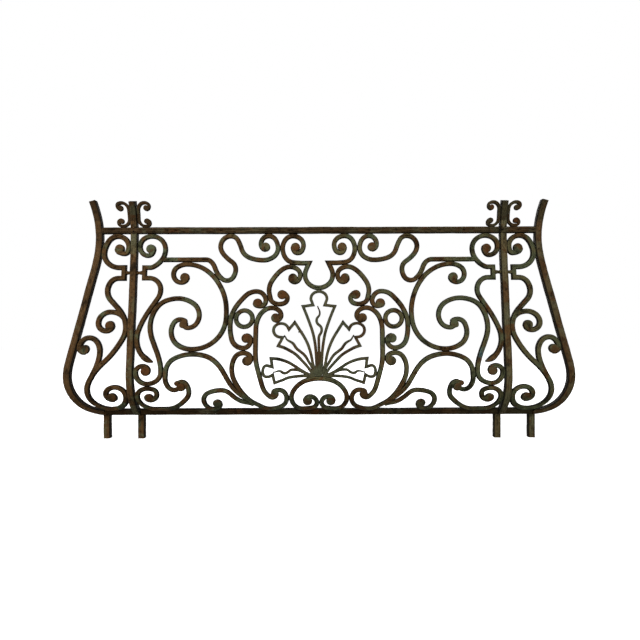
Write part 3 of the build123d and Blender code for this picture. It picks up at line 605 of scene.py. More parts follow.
def petal_edges():
    """Strips that bound the petals of the right half, each from a petal's head down to the root."""
    head = crest_stations()[len(crest_stations()) // 2][1] - (BAR + STRIP) / 2 - SEAT
    centre = [(0, head, 0), bay(0.043, 0.6295, 270)]
    centre += corner(bay(0.0315, 0.5925, 250), 354, STRIP)
    centre += corner(bay(0.0855, 0.5855, 354), 247, STRIP)
    centre += [bay(0.052, 0.500, 250), bay(0.025, 0.400, 260), bay(0.012, 0.215, 268)]
    upper_left = [bay(0.203, 0.4905, 180)]
    upper_left += corner(bay(0.1605, 0.4575, 242), 128, STRIP)
    upper_left += corner(bay(0.129, 0.497, 128), 237, STRIP)
    upper_left += [bay(0.0594, 0.373, 248), bay(0.020, 0.215, 254)]
    upper_right = [bay(0.203, 0.4905, 0), bay(0.2425, 0.4527, 270)]
    upper_right += corner(bay(0.194, 0.4125, 186), 297, STRIP)
    upper_right += corner(bay(0.217, 0.366, 297), 197, STRIP)
    upper_right += [bay(0.142, 0.331, 209), bay(0.0744, 0.267, 226), bay(0.022, 0.196, 232)]
    lower_top = [bay(0.2985, 0.2275, 90), bay(0.2775, 0.2585, 180)]
    lower_top += corner(bay(0.2485, 0.2505, 194), 82, STRIP)
    lower_top += corner(bay(0.2549, 0.297, 82), 183, STRIP)
    lower_top += [bay(0.1835, 0.284, 199), bay(0.1045, 0.239, 213), bay(0.028, 0.198, 202)]
    lower_foot = [bay(0.2985, 0.2275, 270), bay(0.279, 0.1965, 180)]
    lower_foot += corner(bay(0.2455, 0.2085, 150), 257, STRIP)
    lower_foot += corner(bay(0.2355, 0.163, 257), 158, STRIP)
    lower_foot += [bay(0.1835, 0.183, 153), bay(0.113, 0.200, 174), bay(0.030, 0.198, 186)]
    return centre, upper_left, upper_right, lower_top, lower_foot


def petal_rods():
    """Wavy rods that grow from the palmette's root into its petals."""
    centre = [bay(-0.007, 0.588, 285), bay(0.005, 0.548, 270), bay(-0.0123, 0.5065, 270),
              bay(0.0145, 0.456, 270), bay(-0.002, 0.406, 270), bay(0.0, 0.300, 270)]
    upper = [bay(0.186, 0.425, 235), bay(0.163, 0.394, 205), bay(0.134, 0.372, 235),
             bay(0.116, 0.347, 220), bay(0.090, 0.327, 217), bay(0.044, 0.261, 236), bay(0.020, 0.205, 240)]
    lower = [bay(0.244, 0.223, 190), bay(0.211, 0.229, 180), bay(0.182, 0.217, 180),
             bay(0.138, 0.236, 180), bay(0.098, 0.229, 204), bay(0.040, 0.200, 210)]
    return centre, upper, lower


# Paths: points of a bar's middle line, with the stretch that squares its corners

def corner_stretch(before, after):
    """Vector that stretches a section to a mitre where two segments meet at an angle."""
    turned = before[1] + before[2] * before[3]
    swing = math.remainder(after[1] - turned, math.tau)
    if abs(swing) < NO_TURN:
        return 0.0, 0.0
    across = turned + swing / 2 + math.pi / 2
    size = math.sqrt(1 / math.cos(swing / 2) - 1)
    return size * math.cos(across), size * math.sin(across)


def walk(segments, width):
    """Points along a chain, close on its arcs and bare beside its corners."""
    points, stretches = [segments[0][0]], [(0.0, 0.0)]
    for index, segment in enumerate(segments):
        length, bend = segment[2], segment[3]
        count = max(1, round(length / RING_STEP), math.ceil(abs(length * bend) / TURN_STEP))
        if bend == 0 and length < 2 * width:
            count = 1
        for step in range(1, count + 1):
            points.append(travel(segment, length * step / count, 0)[0])
            stretches.append((0.0, 0.0))
        if index + 1 < len(segments):
            stretches[-1] = corner_stretch(segment, segments[index + 1])
    return points, stretches


class Bars:
    """Middle lines of the bars that make one piece, gathered for one mesh of edges."""

    def __init__(self):
        self.points, self.edges, self.stretches = [], [], []
        self.thick, self.eyes, self.soot = [], [], []

    def add_point(self, point, stretch=(0.0, 0.0, 0.0), thick=1.0, eye=0.0, soot=0.0):
        """A point with a stretch and a thickness, or a loose one with the radius of a snub end."""
        self.points.append(point)
        self.stretches.append(stretch)
        self.thick.append(thick)
        self.eyes.append(eye)
        self.soot.append(soot)

    def line(self, points, stretches=None, thick=None, closed=False, soot=None):
        """Join points in space with edges."""
        start = len(self.points)
        for index, point in enumerate(points):
            stretch = stretches[index] if stretches else (0.0, 0.0, 0.0)
            scale = thick[index] if thick else 1.0
            self.add_point(point, stretch, scale, soot=soot[index] if soot else 0.0)
        last = len(self.points) - 1
        self.edges += [(index, index + 1) for index in range(start, last)]
        if closed:
            self.edges.append((last, start))

    def lump(self, station, mirror, inward):
        """Weld where this bar's hook meets another."""
        self.add_point((MIDDLE + mirror * (station[0] - inward), 0.0, station[1] - LUMP_DROP), eye=LUMP)

    def sweep(self, stations, width, mirror, start_eye=0.0, end_eye=0.0, leaf=False,
              scale=SCROLL_BAR_share, tip_share=1.0):
        """Bar along stations on the elevation, with round snub ends where a radius is given.

        A tip share under one draws the bar thinner towards its first station.
        """
        segments = chain(stations)
        flat, stretches = walk(segments, width)
        thick = [scale * min(1.0, tip_share + 2 * index / len(flat)) for index in range(len(flat))]
        if leaf:
            flat, stretches, thick = add_leaf(segments, flat, stretches, width)
        points = [(MIDDLE + mirror * x, 0.0, z) for x, z in flat]
        self.line(points, [(mirror * x, 0.0, z) for x, z in stretches], thick)
        ends = (start_eye, segments[0], 0.0), (end_eye, segments[-1], segments[-1][2])
        for eye, segment, place in ends:
            if eye:
                inward = math.copysign(eye - width / 2, segment[3])
                (x, z), _ = travel(segment, place, inward)
                self.add_point((MIDDLE + mirror * x, 0.0, z), eye=eye)


def add_leaf(segments, flat, stretches, width):
    """Draw the end of a bar out to a pointed leaf that swells and leans before its tip."""
    last = segments[-1]
    length = LEAF_LENGTH_share * width
    segment = (flat[-1], last[1] + last[2] * last[3], 0.0, LEAF_LEAN / length)
    thick = [SCROLL_BAR_share] * len(flat)
    for step in range(1, LEAF_RINGS + 1):
        share = step / LEAF_RINGS
        flat = flat + [travel(segment, length * share, 0)[0]]
        stretches = stretches + [(0.0, 0.0)]
        swell = 1 + LEAF_SWELL_share * math.sin(math.pi * share)
        thick.append(swell * (1 - (1 - LEAF_TIP_share) * share ** LEAF_POWER))
    return flat, stretches, thick


def lines_mesh(bars, name):
    """Mesh of bare edges that carries what the forging tree reads."""
    mesh = bpy.data.meshes.new(name)
    mesh.from_pydata(bars.points, bars.edges, [])
    mesh.attributes.new("stretch", "FLOAT_VECTOR", "POINT")
    stretches = [part for stretch in bars.stretches for part in stretch]
    mesh.attributes["stretch"].data.foreach_set("vector", stretches)
    for label, values in (("radius", bars.thick), ("eye", bars.eyes), ("soot", bars.soot)):
        mesh.attributes.new(label, "FLOAT", "POINT")
        mesh.attributes[label].data.foreach_set("value", values)
    return mesh


# Nodes, in Geometry Nodes and materials alike

def plug(tree, socket, value):
    """Join a socket to another, or set its number."""
    if isinstance(value, bpy.types.NodeSocket):
        tree.links.new(value, socket)
    else:
        socket.default_value = value


def add(tree, kind, settings=None, **inputs):
    """Add a node, set its options and join or set its inputs by name."""
    made = tree.nodes.new(kind)
    for name, value in (settings or {}).items():
        setattr(made, name, value)
    for name, value in inputs.items():
        plug(tree, made.inputs[name.replace("_", " ")], value)
    return made


def sums(tree, operation, *values):
    """Math node on numbers."""
    made = tree.nodes.new("ShaderNodeMath")
    made.operation = operation
    for socket, value in zip(made.inputs, values):
        plug(tree, socket, value)
    return made.outputs[0]


def vectors(tree, operation, *values):
    """Vector math node; dot products and lengths give a number."""
    made = tree.nodes.new("ShaderNodeVectorMath")
    made.operation = operation
    for socket, value in zip(made.inputs, values):
        plug(tree, socket, value)
    return made.outputs["Value" if operation in ("DOT_PRODUCT", "LENGTH") else "Vector"]


def scaled(tree, vector, number):
    """Vector times a number."""
    made = add(tree, "ShaderNodeVectorMath", {"operation": "SCALE"}, Scale=number)
    tree.links.new(vector, made.inputs[0])
    return made.outputs["Vector"]


def parts_of(tree, vector):
    """X, Y and Z of a vector, by name."""
    return add(tree, "ShaderNodeSeparateXYZ", Vector=vector).outputs


# Geometry Nodes

def position(tree):
    return tree.nodes.new("GeometryNodeInputPosition").outputs[0]


def surface_normal(tree):
    return tree.nodes.new("GeometryNodeInputNormal").outputs[0]


def named(tree, kind, name):
    """Attribute that the lines carry."""
    return add(tree, "GeometryNodeInputNamedAttribute", {"data_type": kind}, Name=name).outputs["Attribute"]


def note(tree, geometry, name, value):
    """Store a number at every point, for the material to read."""
    return add(tree, "GeometryNodeStoreNamedAttribute", {"data_type": "FLOAT", "domain": "POINT"},
               Geometry=geometry, Name=name, Value=value).outputs[0]


def new_tree(name, sockets):
    """Tree with a geometry going in and out and the named inputs given as (name, type, value)."""
    tree = bpy.data.node_groups.new(name, "GeometryNodeTree")
    tree.interface.new_socket("Geometry", in_out="INPUT", socket_type="NodeSocketGeometry")
    for label, kind, value in sockets:
        socket = tree.interface.new_socket(label, in_out="INPUT", socket_type=kind)
        if value is not None:
            socket.default_value = value
    tree.interface.new_socket("Geometry", in_out="OUTPUT", socket_type="NodeSocketGeometry")
    return tree, tree.nodes.new("NodeGroupInput").outputs


def finish_tree(tree, geometry, material):
    """End a tree in real meshes with their material."""
    real = add(tree, "GeometryNodeRealizeInstances", Geometry=geometry).outputs[0]
    smooth = add(tree, "GeometryNodeSetShadeSmooth", Geometry=real).outputs[0]
    dressed = add(tree, "GeometryNodeSetMaterial", Geometry=smooth, Material=material).outputs[0]
    tree.links.new(dressed, tree.nodes.new("NodeGroupOutput").inputs[0])


def bar_section(tree, given):
    """Square section with rounded edges and points enough along its faces to take dents."""
    square = add(tree, "GeometryNodeCurvePrimitiveQuadrilateral", Width=given["Depth"],
                 Height=given["Width"])
    parted = add(tree, "GeometryNodeSubdivideCurve", Curve=square.outputs[0], Cuts=SECTION_CUTS)
    rounded = add(tree, "GeometryNodeFilletCurve", {"mode": "POLY"}, Curve=parted.outputs[0],
                  Count=ROUND_POINTS, Radius=given["Edge"], Limit_Radius=True)
    return rounded.outputs[0]


def swept_bar(tree, given):
    """Sweep the section along the lines, square its corners and note its faces and edges."""
    lines = add(tree, "GeometryNodeMeshToCurve", Mesh=given["Geometry"])
    held = add(tree, "GeometryNodeSetCurveNormal", {"mode": "FREE"}, Curve=lines.outputs[0],
               Normal=given["Front"])
    middle = tree.nodes.new("GeometryNodeCaptureAttribute")
    middle.capture_items.new("VECTOR", "middle")
    tree.links.new(held.outputs[0], middle.inputs[0])
    tree.links.new(position(tree), middle.inputs[1])
    swept = add(tree, "GeometryNodeCurveToMesh", Curve=middle.outputs[0],
                Profile_Curve=bar_section(tree, given), Scale=named(tree, "FLOAT", "radius"), Fill_Caps=True)
    away = vectors(tree, "SUBTRACT", position(tree), middle.outputs[1])
    stretch = named(tree, "FLOAT_VECTOR", "stretch")
    squared = add(tree, "GeometryNodeSetPosition", Geometry=swept.outputs[0],
                  Offset=scaled(tree, stretch, vectors(tree, "DOT_PRODUCT", away, stretch)))
    return faces_noted(tree, squared.outputs[0], away, given)


def faces_noted(tree, geometry, away, given):
    """Note where a bar's edges are, and which of its faces look forward, for the material."""
    forward = sums(tree, "ABSOLUTE", vectors(tree, "DOT_PRODUCT", away, given["Front"]))
    whole = vectors(tree, "LENGTH", away)
    sideways = sums(tree, "SQRT", sums(tree, "SUBTRACT", sums(tree, "MULTIPLY", whole, whole),
                                       sums(tree, "MULTIPLY", forward, forward)))
    deep = sums(tree, "DIVIDE", sums(tree, "MULTIPLY", forward, 2.0), given["Depth"])
    wide = sums(tree, "DIVIDE", sums(tree, "MULTIPLY", sideways, 2.0), given["Width"])
    edged = note(tree, geometry, "edge", sums(tree, "MINIMUM", deep, wide))
    looks = sums(tree, "ABSOLUTE", vectors(tree, "DOT_PRODUCT", given["Front"], BACKWARD))
    sense = sums(tree, "MULTIPLY_ADD", looks, 2.0, -1.0)
    return note(tree, edged, "face", sums(tree, "MULTIPLY", sense, sums(tree, "SUBTRACT", deep, wide)))


def snub_ends(tree, given):
    """Round domed discs on the loose points that carry an eye radius."""
    eye = named(tree, "FLOAT", "eye")
    points = add(tree, "GeometryNodeMeshToPoints", Mesh=given["Geometry"],
                 Selection=sums(tree, "GREATER_THAN", eye, 0.0))
    disc = add(tree, "GeometryNodeMeshCylinder", {"fill_type": "TRIANGLE_FAN"}, Vertices=DISC_SIDES,
               Side_Segments=DISC_RINGS, Fill_Segments=DISC_FILL, Radius=1.0, Depth=2.0)
    domed = add(tree, "GeometryNodeSubdivisionSurface", Mesh=disc.outputs[0], Level=1)
    half = sums(tree, "MULTIPLY", given["Depth"], DOME_share)
    size = add(tree, "ShaderNodeCombineXYZ", X=eye, Y=eye, Z=half).outputs[0]
    put = add(tree, "GeometryNodeInstanceOnPoints", Points=points.outputs[0], Instance=domed.outputs[0],
              Rotation=(math.pi / 2, 0.0, 0.0), Scale=size)
    real = add(tree, "GeometryNodeRealizeInstances", Geometry=put.outputs[0])
    facing = vectors(tree, "DOT_PRODUCT", surface_normal(tree), BACKWARD)
    front = sums(tree, "SUBTRACT", sums(tree, "ABSOLUTE", facing), KNOB_FRONT)
    return note(tree, note(tree, real.outputs[0], "face", front), "knob", 1.0)


def hammered(tree, geometry, given):
    """Let bars stray from their lines and dent their faces."""
    place = position(tree)
    bent = add(tree, "ShaderNodeTexNoise", Vector=place, Scale=WAVE_SCALE, Detail=WAVE_DETAIL)
    centred = vectors(tree, "SUBTRACT", bent.outputs["Color"], (0.5, 0.5, 0.5))
    stray = scaled(tree, centred, sums(tree, "MULTIPLY", given["Wave"], WAVE_GAIN))
    strayed = add(tree, "GeometryNodeSetPosition", Geometry=geometry, Offset=stray)
    pits = add(tree, "ShaderNodeTexNoise", Vector=place, Scale=DENT_SCALE, Detail=DENT_DETAIL)
    depth = sums(tree, "MULTIPLY", sums(tree, "SUBTRACT", pits.outputs[0], DENT_MIDDLE),
                 sums(tree, "MULTIPLY", given["Dent"], DENT_GAIN))
    dented = add(tree, "GeometryNodeSetPosition", Geometry=strayed.outputs[0],
                 Offset=scaled(tree, surface_normal(tree), depth))
    return dented.outputs[0]


def onto_shell(tree, geometry, given):
    """Push bars drawn flat onto the pot-bellied shell, as deep across it as they were drawn."""
    shell = add(tree, "GeometryNodeObjectInfo", {"transform_space": "ORIGINAL"}, Object=given["Shell"])
    place = parts_of(tree, position(tree))
    start = add(tree, "ShaderNodeCombineXYZ", X=place["X"], Y=-RAY_AWAY, Z=place["Z"])
    cast = add(tree, "GeometryNodeRaycast", Target_Geometry=shell.outputs["Geometry"],
               Source_Position=start.outputs[0], Ray_Direction=BACKWARD, Ray_Length=2 * RAY_AWAY)
    landed = parts_of(tree, cast.outputs["Hit Position"])
    facing = parts_of(tree, cast.outputs["Hit Normal"])
    steep = sums(tree, "MAXIMUM", sums(tree, "ABSOLUTE", facing["Y"]), LEAST_FRONT_share)
    deep = sums(tree, "DIVIDE", place["Y"], steep)
    moved = add(tree, "ShaderNodeCombineXYZ", X=place["X"], Y=sums(tree, "ADD", landed["Y"], deep),
                Z=place["Z"])
    return add(tree, "GeometryNodeSetPosition", Geometry=geometry, Selection=cast.outputs["Is Hit"],
               Position=moved.outputs[0]).outputs[0]


def forging_tree():
    """The tree that makes every bar of the guard from its middle lines."""
    tree, given = new_tree("Forged bars", [
        ("Width", "NodeSocketFloat", BAR),
        ("Depth", "NodeSocketFloat", BAR),
        ("Edge", "NodeSocketFloat", EDGE),
        ("Dent", "NodeSocketFloat", DENT),
        ("Wave", "NodeSocketFloat", WAVE),
        ("Front", "NodeSocketVector", FRONTWARD),
        ("Shell", "NodeSocketObject", None),
        ("Low corner", "NodeSocketVector", tuple(CAD_BOX[0])),
        ("High corner", "NodeSocketVector", tuple(CAD_BOX[1])),
        ("Iron", "NodeSocketMaterial", None)])
    joined = tree.nodes.new("GeometryNodeJoinGeometry")
    tree.links.new(swept_bar(tree, given), joined.inputs[0])
    tree.links.new(snub_ends(tree, given), joined.inputs[0])
    shaped = onto_shell(tree, hammered(tree, joined.outputs[0], given), given)
    above = vectors(tree, "MAXIMUM", position(tree), given["Low corner"])
    kept = vectors(tree, "MINIMUM", above, given["High corner"])
    inside = add(tree, "GeometryNodeSetPosition", Geometry=shaped, Position=kept).outputs[0]
    finish_tree(tree, inside, given["Iron"])
    return tree


def run_tree(shape, tree, values):
    """Put a tree on an object with its inputs set by identifier."""
    step = shape.modifiers.new(tree.name, "NODES")
    step.node_group = tree
    for item in tree.interface.items_tree:
        if item.in_out == "INPUT" and item.name in values:
            step[item.identifier] = values[item.name]


def settle(shape):
    """Turn an object's modifiers into its mesh."""
    graph = bpy.context.evaluated_depsgraph_get()
    mesh = bpy.data.meshes.new_from_object(shape.evaluated_get(graph))
    shape.modifiers.clear()
    shape.data = mesh


def new_object(name, data):
    shape = bpy.data.objects.new(name, data)
    bpy.context.scene.collection.objects.link(shape)
    return shape


def section_points():
    """Points up the middle line of the guard's section, and the angle at its end."""
    points = []
    for segment in section_chain():
        count = max(1, round(segment[2] / RING_STEP))
        points += [travel(segment, segment[2] * step / count, 0)[0] for step in range(count)]
    end, turned = travel(segment, segment[2], 0)
    return points + [end], turned


def shell_sheet():
    """Middle surface of the guard, a little wider than it, that bars are bent onto."""
    line, turned = section_points()
    end = line[-1]
    line.append((end[0] + POST * math.cos(turned), end[1] + POST * math.sin(turned)))
    reach = BAY_HALF + 2 * WING_WIDTH
    points = [(x, -forward, z) for forward, z in line for x in (MIDDLE - reach, MIDDLE + reach)]
    faces = [(2 * row, 2 * row + 1, 2 * row + 3, 2 * row + 2) for row in range(len(line) - 1)]
    mesh = bpy.data.meshes.new("shell")
    mesh.from_pydata(points, [], faces)
    return new_object("shell", mesh)


# Iron: worn green paint over rusted bar

def ramp(tree, value, low, high):
    """Number that climbs smoothly from 0 to 1 between two values."""
    made = add(tree, "ShaderNodeMapRange", {"interpolation_type": "SMOOTHSTEP"}, Value=value,
               From_Min=low, From_Max=high)
    return made.outputs["Result"]


def noise(tree, place, kind):
    """Noise of one kind: number in a metre, detail, distortion."""
    scale, detail, distortion = kind
    return add(tree, "ShaderNodeTexNoise", Vector=place, Scale=scale, Detail=detail,
               Roughness=NOISE_ROUGHNESS, Distortion=distortion).outputs[0]


def patches(tree, place, kind):
    """Mask of soft-edged patches of one kind."""
    return ramp(tree, noise(tree, place, kind[:3]), *kind[3:])


def blend(tree, share, first, second):
    """Mix two colours."""
    made = tree.nodes.new("ShaderNodeMix")
    made.data_type = "RGBA"
    plug(tree, made.inputs[0], share)
    plug(tree, made.inputs[6], first)
    plug(tree, made.inputs[7], second)
    return made.outputs[2]


def coat(tree, colour, mask, share, over):
    """Lay a share of another colour over a finish where a mask says so."""
    return blend(tree, sums(tree, "MULTIPLY", mask, share), colour, over)


def read_note(tree, name):
    """Number that the forging tree noted on the surface."""
    return add(tree, "ShaderNodeAttribute", {"attribute_name": name}).outputs["Fac"]


def worn_paint(tree, place, greens, browns, brown_level):
    """Green paint of two shades, worn through to two browns in broad patches."""
    green = blend(tree, patches(tree, place, GREEN_PATCHES), *greens)
    brown = blend(tree, patches(tree, place, BROWN_PATCHES), *browns)
    across = parts_of(tree, place)["X"]
    tilt = sums(tree, "MULTIPLY_ADD", across, -WEATHER_SLOPE, WEATHER_SLOPE * MIDDLE)
    weather = sums(tree, "ADD", tilt, noise(tree, place, WEATHER_NOISE))
    worn = ramp(tree, weather, brown_level - BROWN_BEFORE, brown_level + BROWN_AFTER)
    return blend(tree, worn, green, brown)


def rust_mask(tree, place):
    """Patches of rust, more of them on the snub ends."""
    level = sums(tree, "MULTIPLY_ADD", read_note(tree, "knob"), KNOB_RUST, noise(tree, place, RUST_NOISE))
    return ramp(tree, level, *RUST_LEVELS)


def dirtied(tree, place, colour):
    """Dark stains and fine grime."""
    colour = coat(tree, colour, patches(tree, place, STAIN_PATCHES), STAIN_share, SOOT_AND_SHADE)
    return coat(tree, colour, patches(tree, place, GRIME_PATCHES), GRIME_share, SOOT_AND_SHADE)


def rubbed(tree, place, colour):
    """Chalky edges and specks."""
    edges = ramp(tree, read_note(tree, "edge"), *RUBBED_EDGES)
    worn = sums(tree, "MULTIPLY", edges, patches(tree, place, RUBBED_PATCHES))
    colour = coat(tree, colour, worn, RUBBED_share, BARE)
    return coat(tree, colour, patches(tree, place, SPECK_PATCHES), SPECK_share, BARE)


def soot_and_painted_shade(tree, place, colour):
    """Painted shade on the sides of bars, lighter where they look away from the middle, and soot where it
    was noted.
    """
    # painted shade: the sides and the rims of the fronts are darkened, not soot
    sides = ramp(tree, read_note(tree, "face"), *SHADE_SIDE_LEVELS)
    turned = parts_of(tree, tree.nodes.new("ShaderNodeNewGeometry").outputs["Normal"])["X"]
    outward = sums(tree, "MULTIPLY", turned, sums(tree, "SUBTRACT", parts_of(tree, place)["X"], MIDDLE))
    kept = sums(tree, "MULTIPLY_ADD", ramp(tree, outward, *OUTER_SHADE_LEVELS), -OUTER_SHADE_CUT_share, SIDE_SHADE_share)
    colour = coat(tree, colour, sides, kept, SOOT_AND_SHADE)
    return blend(tree, read_note(tree, "soot"), colour, SOOT_AND_SHADE)


def stained(tree, place, colour):
    """One turquoise stain on the right half."""
    middle = (MIDDLE + PATINA_ACROSS, -PATINA_FORWARD, PATINA_HEIGHT)
    apart = vectors(tree, "LENGTH", vectors(tree, "SUBTRACT", place, middle))
    near = ramp(tree, apart, PATINA_REACH, 0.0)
    patina = sums(tree, "MULTIPLY", near, patches(tree, place, PATINA_PATCHES))
    return coat(tree, colour, patina, ramp(tree, read_note(tree, "face"), *PATINA_LEVELS), PATINA)


def painted_iron(name, greens, browns, brown_level):
    """Old paint worn through to brown iron, with rust, dirt, rubbed edges and painted shade on the sides."""
    material = bpy.data.materials.new(name)
    material.use_nodes = True
    tree = material.node_tree
    shader = tree.nodes["Principled BSDF"]
    place = tree.nodes.new("ShaderNodeTexCoord").outputs["Object"]
    rust = rust_mask(tree, place)
    colour = worn_paint(tree, place, greens, browns, brown_level)
    colour = coat(tree, colour, rust, RUST_share, RUST)
    for layer in (dirtied, rubbed, soot_and_painted_shade, stained):
        colour = layer(tree, place, colour)
    tree.links.new(colour, shader.inputs["Base Color"])
    rough = sums(tree, "MULTIPLY_ADD", noise(tree, place, SHEEN_NOISE), SHEEN_SPREAD, SHEEN_LEAST)
    tree.links.new(rough, shader.inputs["Roughness"])
    shader.inputs["Specular IOR Level"].default_value = SPECULAR
    grain = sums(tree, "ADD", noise(tree, place, GRAIN_NOISE), sums(tree, "MULTIPLY", rust, GRAIN_RUST))
    bump = add(tree, "ShaderNodeBump", Height=grain, Strength=GRAIN_STRENGTH, Distance=GRAIN_HEIGHT)
    tree.links.new(bump.outputs[0], shader.inputs["Normal"])
    return material


def scroll_iron():
    greens = (0.088, 0.098, 0.051, 1.0), (0.108, 0.095, 0.043, 1.0)
    browns = (0.100, 0.055, 0.021, 1.0), (0.070, 0.038, 0.015, 1.0)
    brown_level = 0.50
    return painted_iron("green scroll iron", greens, browns, brown_level)


def petal_iron():
    greens = (0.084, 0.087, 0.049, 1.0), (0.094, 0.085, 0.044, 1.0)
    browns = (0.092, 0.058, 0.026, 1.0), (0.070, 0.042, 0.019, 1.0)
    brown_level = 0.56
    return painted_iron("green petal iron", greens, browns, brown_level)


def post_iron():
    greens = (0.118, 0.108, 0.056, 1.0), (0.122, 0.093, 0.042, 1.0)
    browns = (0.118, 0.064, 0.025, 1.0), (0.088, 0.047, 0.018, 1.0)
    brown_level = 0.50
    return painted_iron("brown post iron", greens, browns, brown_level)


def end_bar_iron():
    greens = (0.106, 0.088, 0.044, 1.0), (0.108, 0.078, 0.035, 1.0)
    browns = (0.104, 0.057, 0.023, 1.0), (0.080, 0.043, 0.017, 1.0)
    brown_level = 0.41
    return painted_iron("brown end bar iron", greens, browns, brown_level)


def rail_iron():
    greens = (0.068, 0.058, 0.030, 1.0), (0.064, 0.046, 0.022, 1.0)
    browns = (0.060, 0.035, 0.015, 1.0), (0.044, 0.026, 0.012, 1.0)
    brown_level = 0.46
    return painted_iron("dark rail iron", greens, browns, brown_level)


# Pieces

def forge(name, bars, iron, width=BAR, depth=BAR, edge=ROUNDED, front=None, shell=None, lowest=None):
    """Make one piece from its lines, in place of the CAD node of the same name."""
    shape = new_object("forged_" + name, lines_mesh(bars, name))
    values = {"Width": width, "Depth": depth, "Edge": edge, "Shell": shell, "Iron": iron}
    if front:
        values["Front"] = front
    if lowest:
        values["Low corner"] = (CAD_BOX[0].x, CAD_BOX[0].y, lowest)
    run_tree(shape, FORGING, values)
    settle(shape)
    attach(shape, "root")
    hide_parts(name)


def middle_scrolls(shell, iron):
    """The two scrolls that cross the middle."""
    for name, stations in (("crest_scroll", crest_stations()), ("base_scroll", base_stations())):
        bars = Bars()
        bars.sweep(stations, BAR, 1, EYE, EYE)
        forge(name, bars, iron, shell=shell)


def single_scrolls(word, mirror, shell, iron):
    """Scrolls of a half bay that are one bar each, three of them with a weld."""
    singles = {"great_scroll": (great_stations(), KNUCKLE), "tall_scroll": (tall_stations(), KNUCKLE),
               "hoop_scroll": (hoop_stations(), EYE), "oval_scroll": (oval_stations(), EYE),
               "shield_bar": (shield_stations(), KNUCKLE), "serpentine_bar": (serpentine_stations(), 0.0),
               "corner_scroll": (corner_scroll_stations(), KNUCKLE)}
    welds = {"great_scroll": (GREAT_HOOK, 0.0), "shield_bar": (SHIELD_HOOK, 0.0),
             "corner_scroll": (LOW_HOOK, LUMP_IN)}
    for name, (stations, end_eye) in singles.items():
        bars = Bars()
        bars.sweep(stations, BAR, mirror, EYE, end_eye)
        if name in welds:
            weld, inward = welds[name]
            bars.lump(weld, mirror, inward)
        forge(word + name, bars, iron, shell=shell)


def joined_scrolls(word, mirror, shell, iron):
    """Lyre scroll with its leaf, root scroll with its arch and shoot, and a wing's scroll."""
    lyre, root, stem = Bars(), Bars(), Bars()
    lyre.sweep(lyre_stations(), BAR, mirror, EYE, leaf=True)
    root.sweep(root_stations(), BAR, mirror, EYE, KNUCKLE)
    root.sweep(arch_stations(), BAR, mirror, KNUCKLE)
    root.sweep(root_shoot_stations(), BAR, mirror, EYE)
    stem.sweep(wing_stem_stations(), BAR, mirror, WING_EYE, WING_EYE, scale=WING_BAR_share)
    for stations in (wing_curl_stations(), wing_shoot_stations()):
        stem.sweep(stations, BAR, mirror, 0.0, WING_EYE, scale=WING_BAR_share)
    for name, bars in (("lyre_scroll", lyre), ("root_scroll", root), ("wing_scroll", stem)):
        forge(word + name, bars, iron, shell=shell)


def finial_pieces(word, mirror, shell, iron):
    """The two small scrolls beside a post above the top rail."""
    for name, side in (("outer_finial", 1), ("inner_finial", -1)):
        bars = Bars()
        bars.sweep(finial_stations(side), FINIAL_BAR, mirror, FINIAL_EYE, FINIAL_EYE)
        forge(word + name, bars, iron, FINIAL_BAR, FINIAL_BAR, FINIAL_EDGE_share * EDGE, shell=shell)


def ring_pieces(shell, iron):
    radius = RING_ROOM_share * BAY_HALF - BAR - SEAT
    count = round(math.tau * radius / RING_STEP)
    across, height, _ = bay(RING_ACROSS_share, RING_HEIGHT_share, 0)
    for word, mirror in HALVES:
        bars = Bars()
        turns = [math.tau * step / count for step in range(count)]
        circle = [(across + radius * math.cos(turn), height + radius * math.sin(turn)) for turn in turns]
        bars.line([(MIDDLE + mirror * x, 0.0, z) for x, z in circle], closed=True)
        forge(word + "ring", bars, iron, shell=shell)


def spur_stations():
    return [bay(0.092, 0.4475, 210), bay(0.1045, 0.4405, 210)]


def palmette_piece(shell, iron):
    """Petals of strip and wavy rods, drawn to a point, that meet in a bundle at the root."""
    bars = Bars()
    rods = petal_rods()
    bars.sweep(rods[0], STRIP, 1, scale=ROD_share, tip_share=ROD_TIP_share)
    head = bay(0, BUNDLE_TOP_share, 0)[1]
    foot = base_stations()[len(base_stations()) // 2][1] + BAR / 2
    for _, mirror in HALVES:
        for stations in petal_edges():
            bars.sweep(stations, STRIP, mirror, scale=STRIP_share)
        for stations in rods[1:]:
            bars.sweep(stations, STRIP, mirror, scale=ROD_share, tip_share=ROD_TIP_share)
        for share in BUNDLE_shares:
            bars.sweep([(share * STEM, head, 270), (share * STEM, foot, 270)], STRIP, mirror)
    bars.sweep(spur_stations(), STRIP, -1, scale=SPUR_share)
    forge("palmette", bars, iron, STRIP, STRIP_DEPTH, STRIP_EDGE_share * EDGE, shell=shell)


def straight(first, last):
    """Points of a straight bar between two places."""
    first, last = Vector(first), Vector(last)
    count = max(1, round((last - first).length / (2 * RING_STEP)))
    return [tuple(first.lerp(last, step / count)) for step in range(count + 1)]


def rail_pieces(iron):
    """Top rail in two lengths that meet at the right post, and the bottom rail."""
    left, right, reach = MIDDLE - BAY_HALF, MIDDLE + BAY_HALF, END_NECK_OUT_share * WING_WIDTH
    seam = right - POST / 2 - SEAT
    height = PANEL_TOP + RAIL / 2
    for name, first, last in (("top_rail", left - reach, seam - RAIL_GAP),
                              ("right_return_rail", seam, right + reach)):
        bars = Bars()
        points = straight((first, -NECK_FORWARD, height), (last, -NECK_FORWARD, height))
        bars.line(points, soot=[JOINT_SOOT_share * (abs(x - seam) < RAIL / 4) for x, _, _ in points])
        if name == "top_rail":
            bars.add_point((left, -NECK_FORWARD, height - RIVET), eye=RIVET, soot=1.0)
        forge(name, bars, iron, RAIL, RAIL, EDGE)
    low, out = FOOT_LENGTH + RAIL / 2, FOOT_OUT_share * WING_WIDTH + POST / 2
    bars = Bars()
    bars.line(straight((left - out, 0.0, low), (right + out, 0.0, low)))
    forge("bottom_rail", bars, iron, RAIL, RAIL, EDGE)


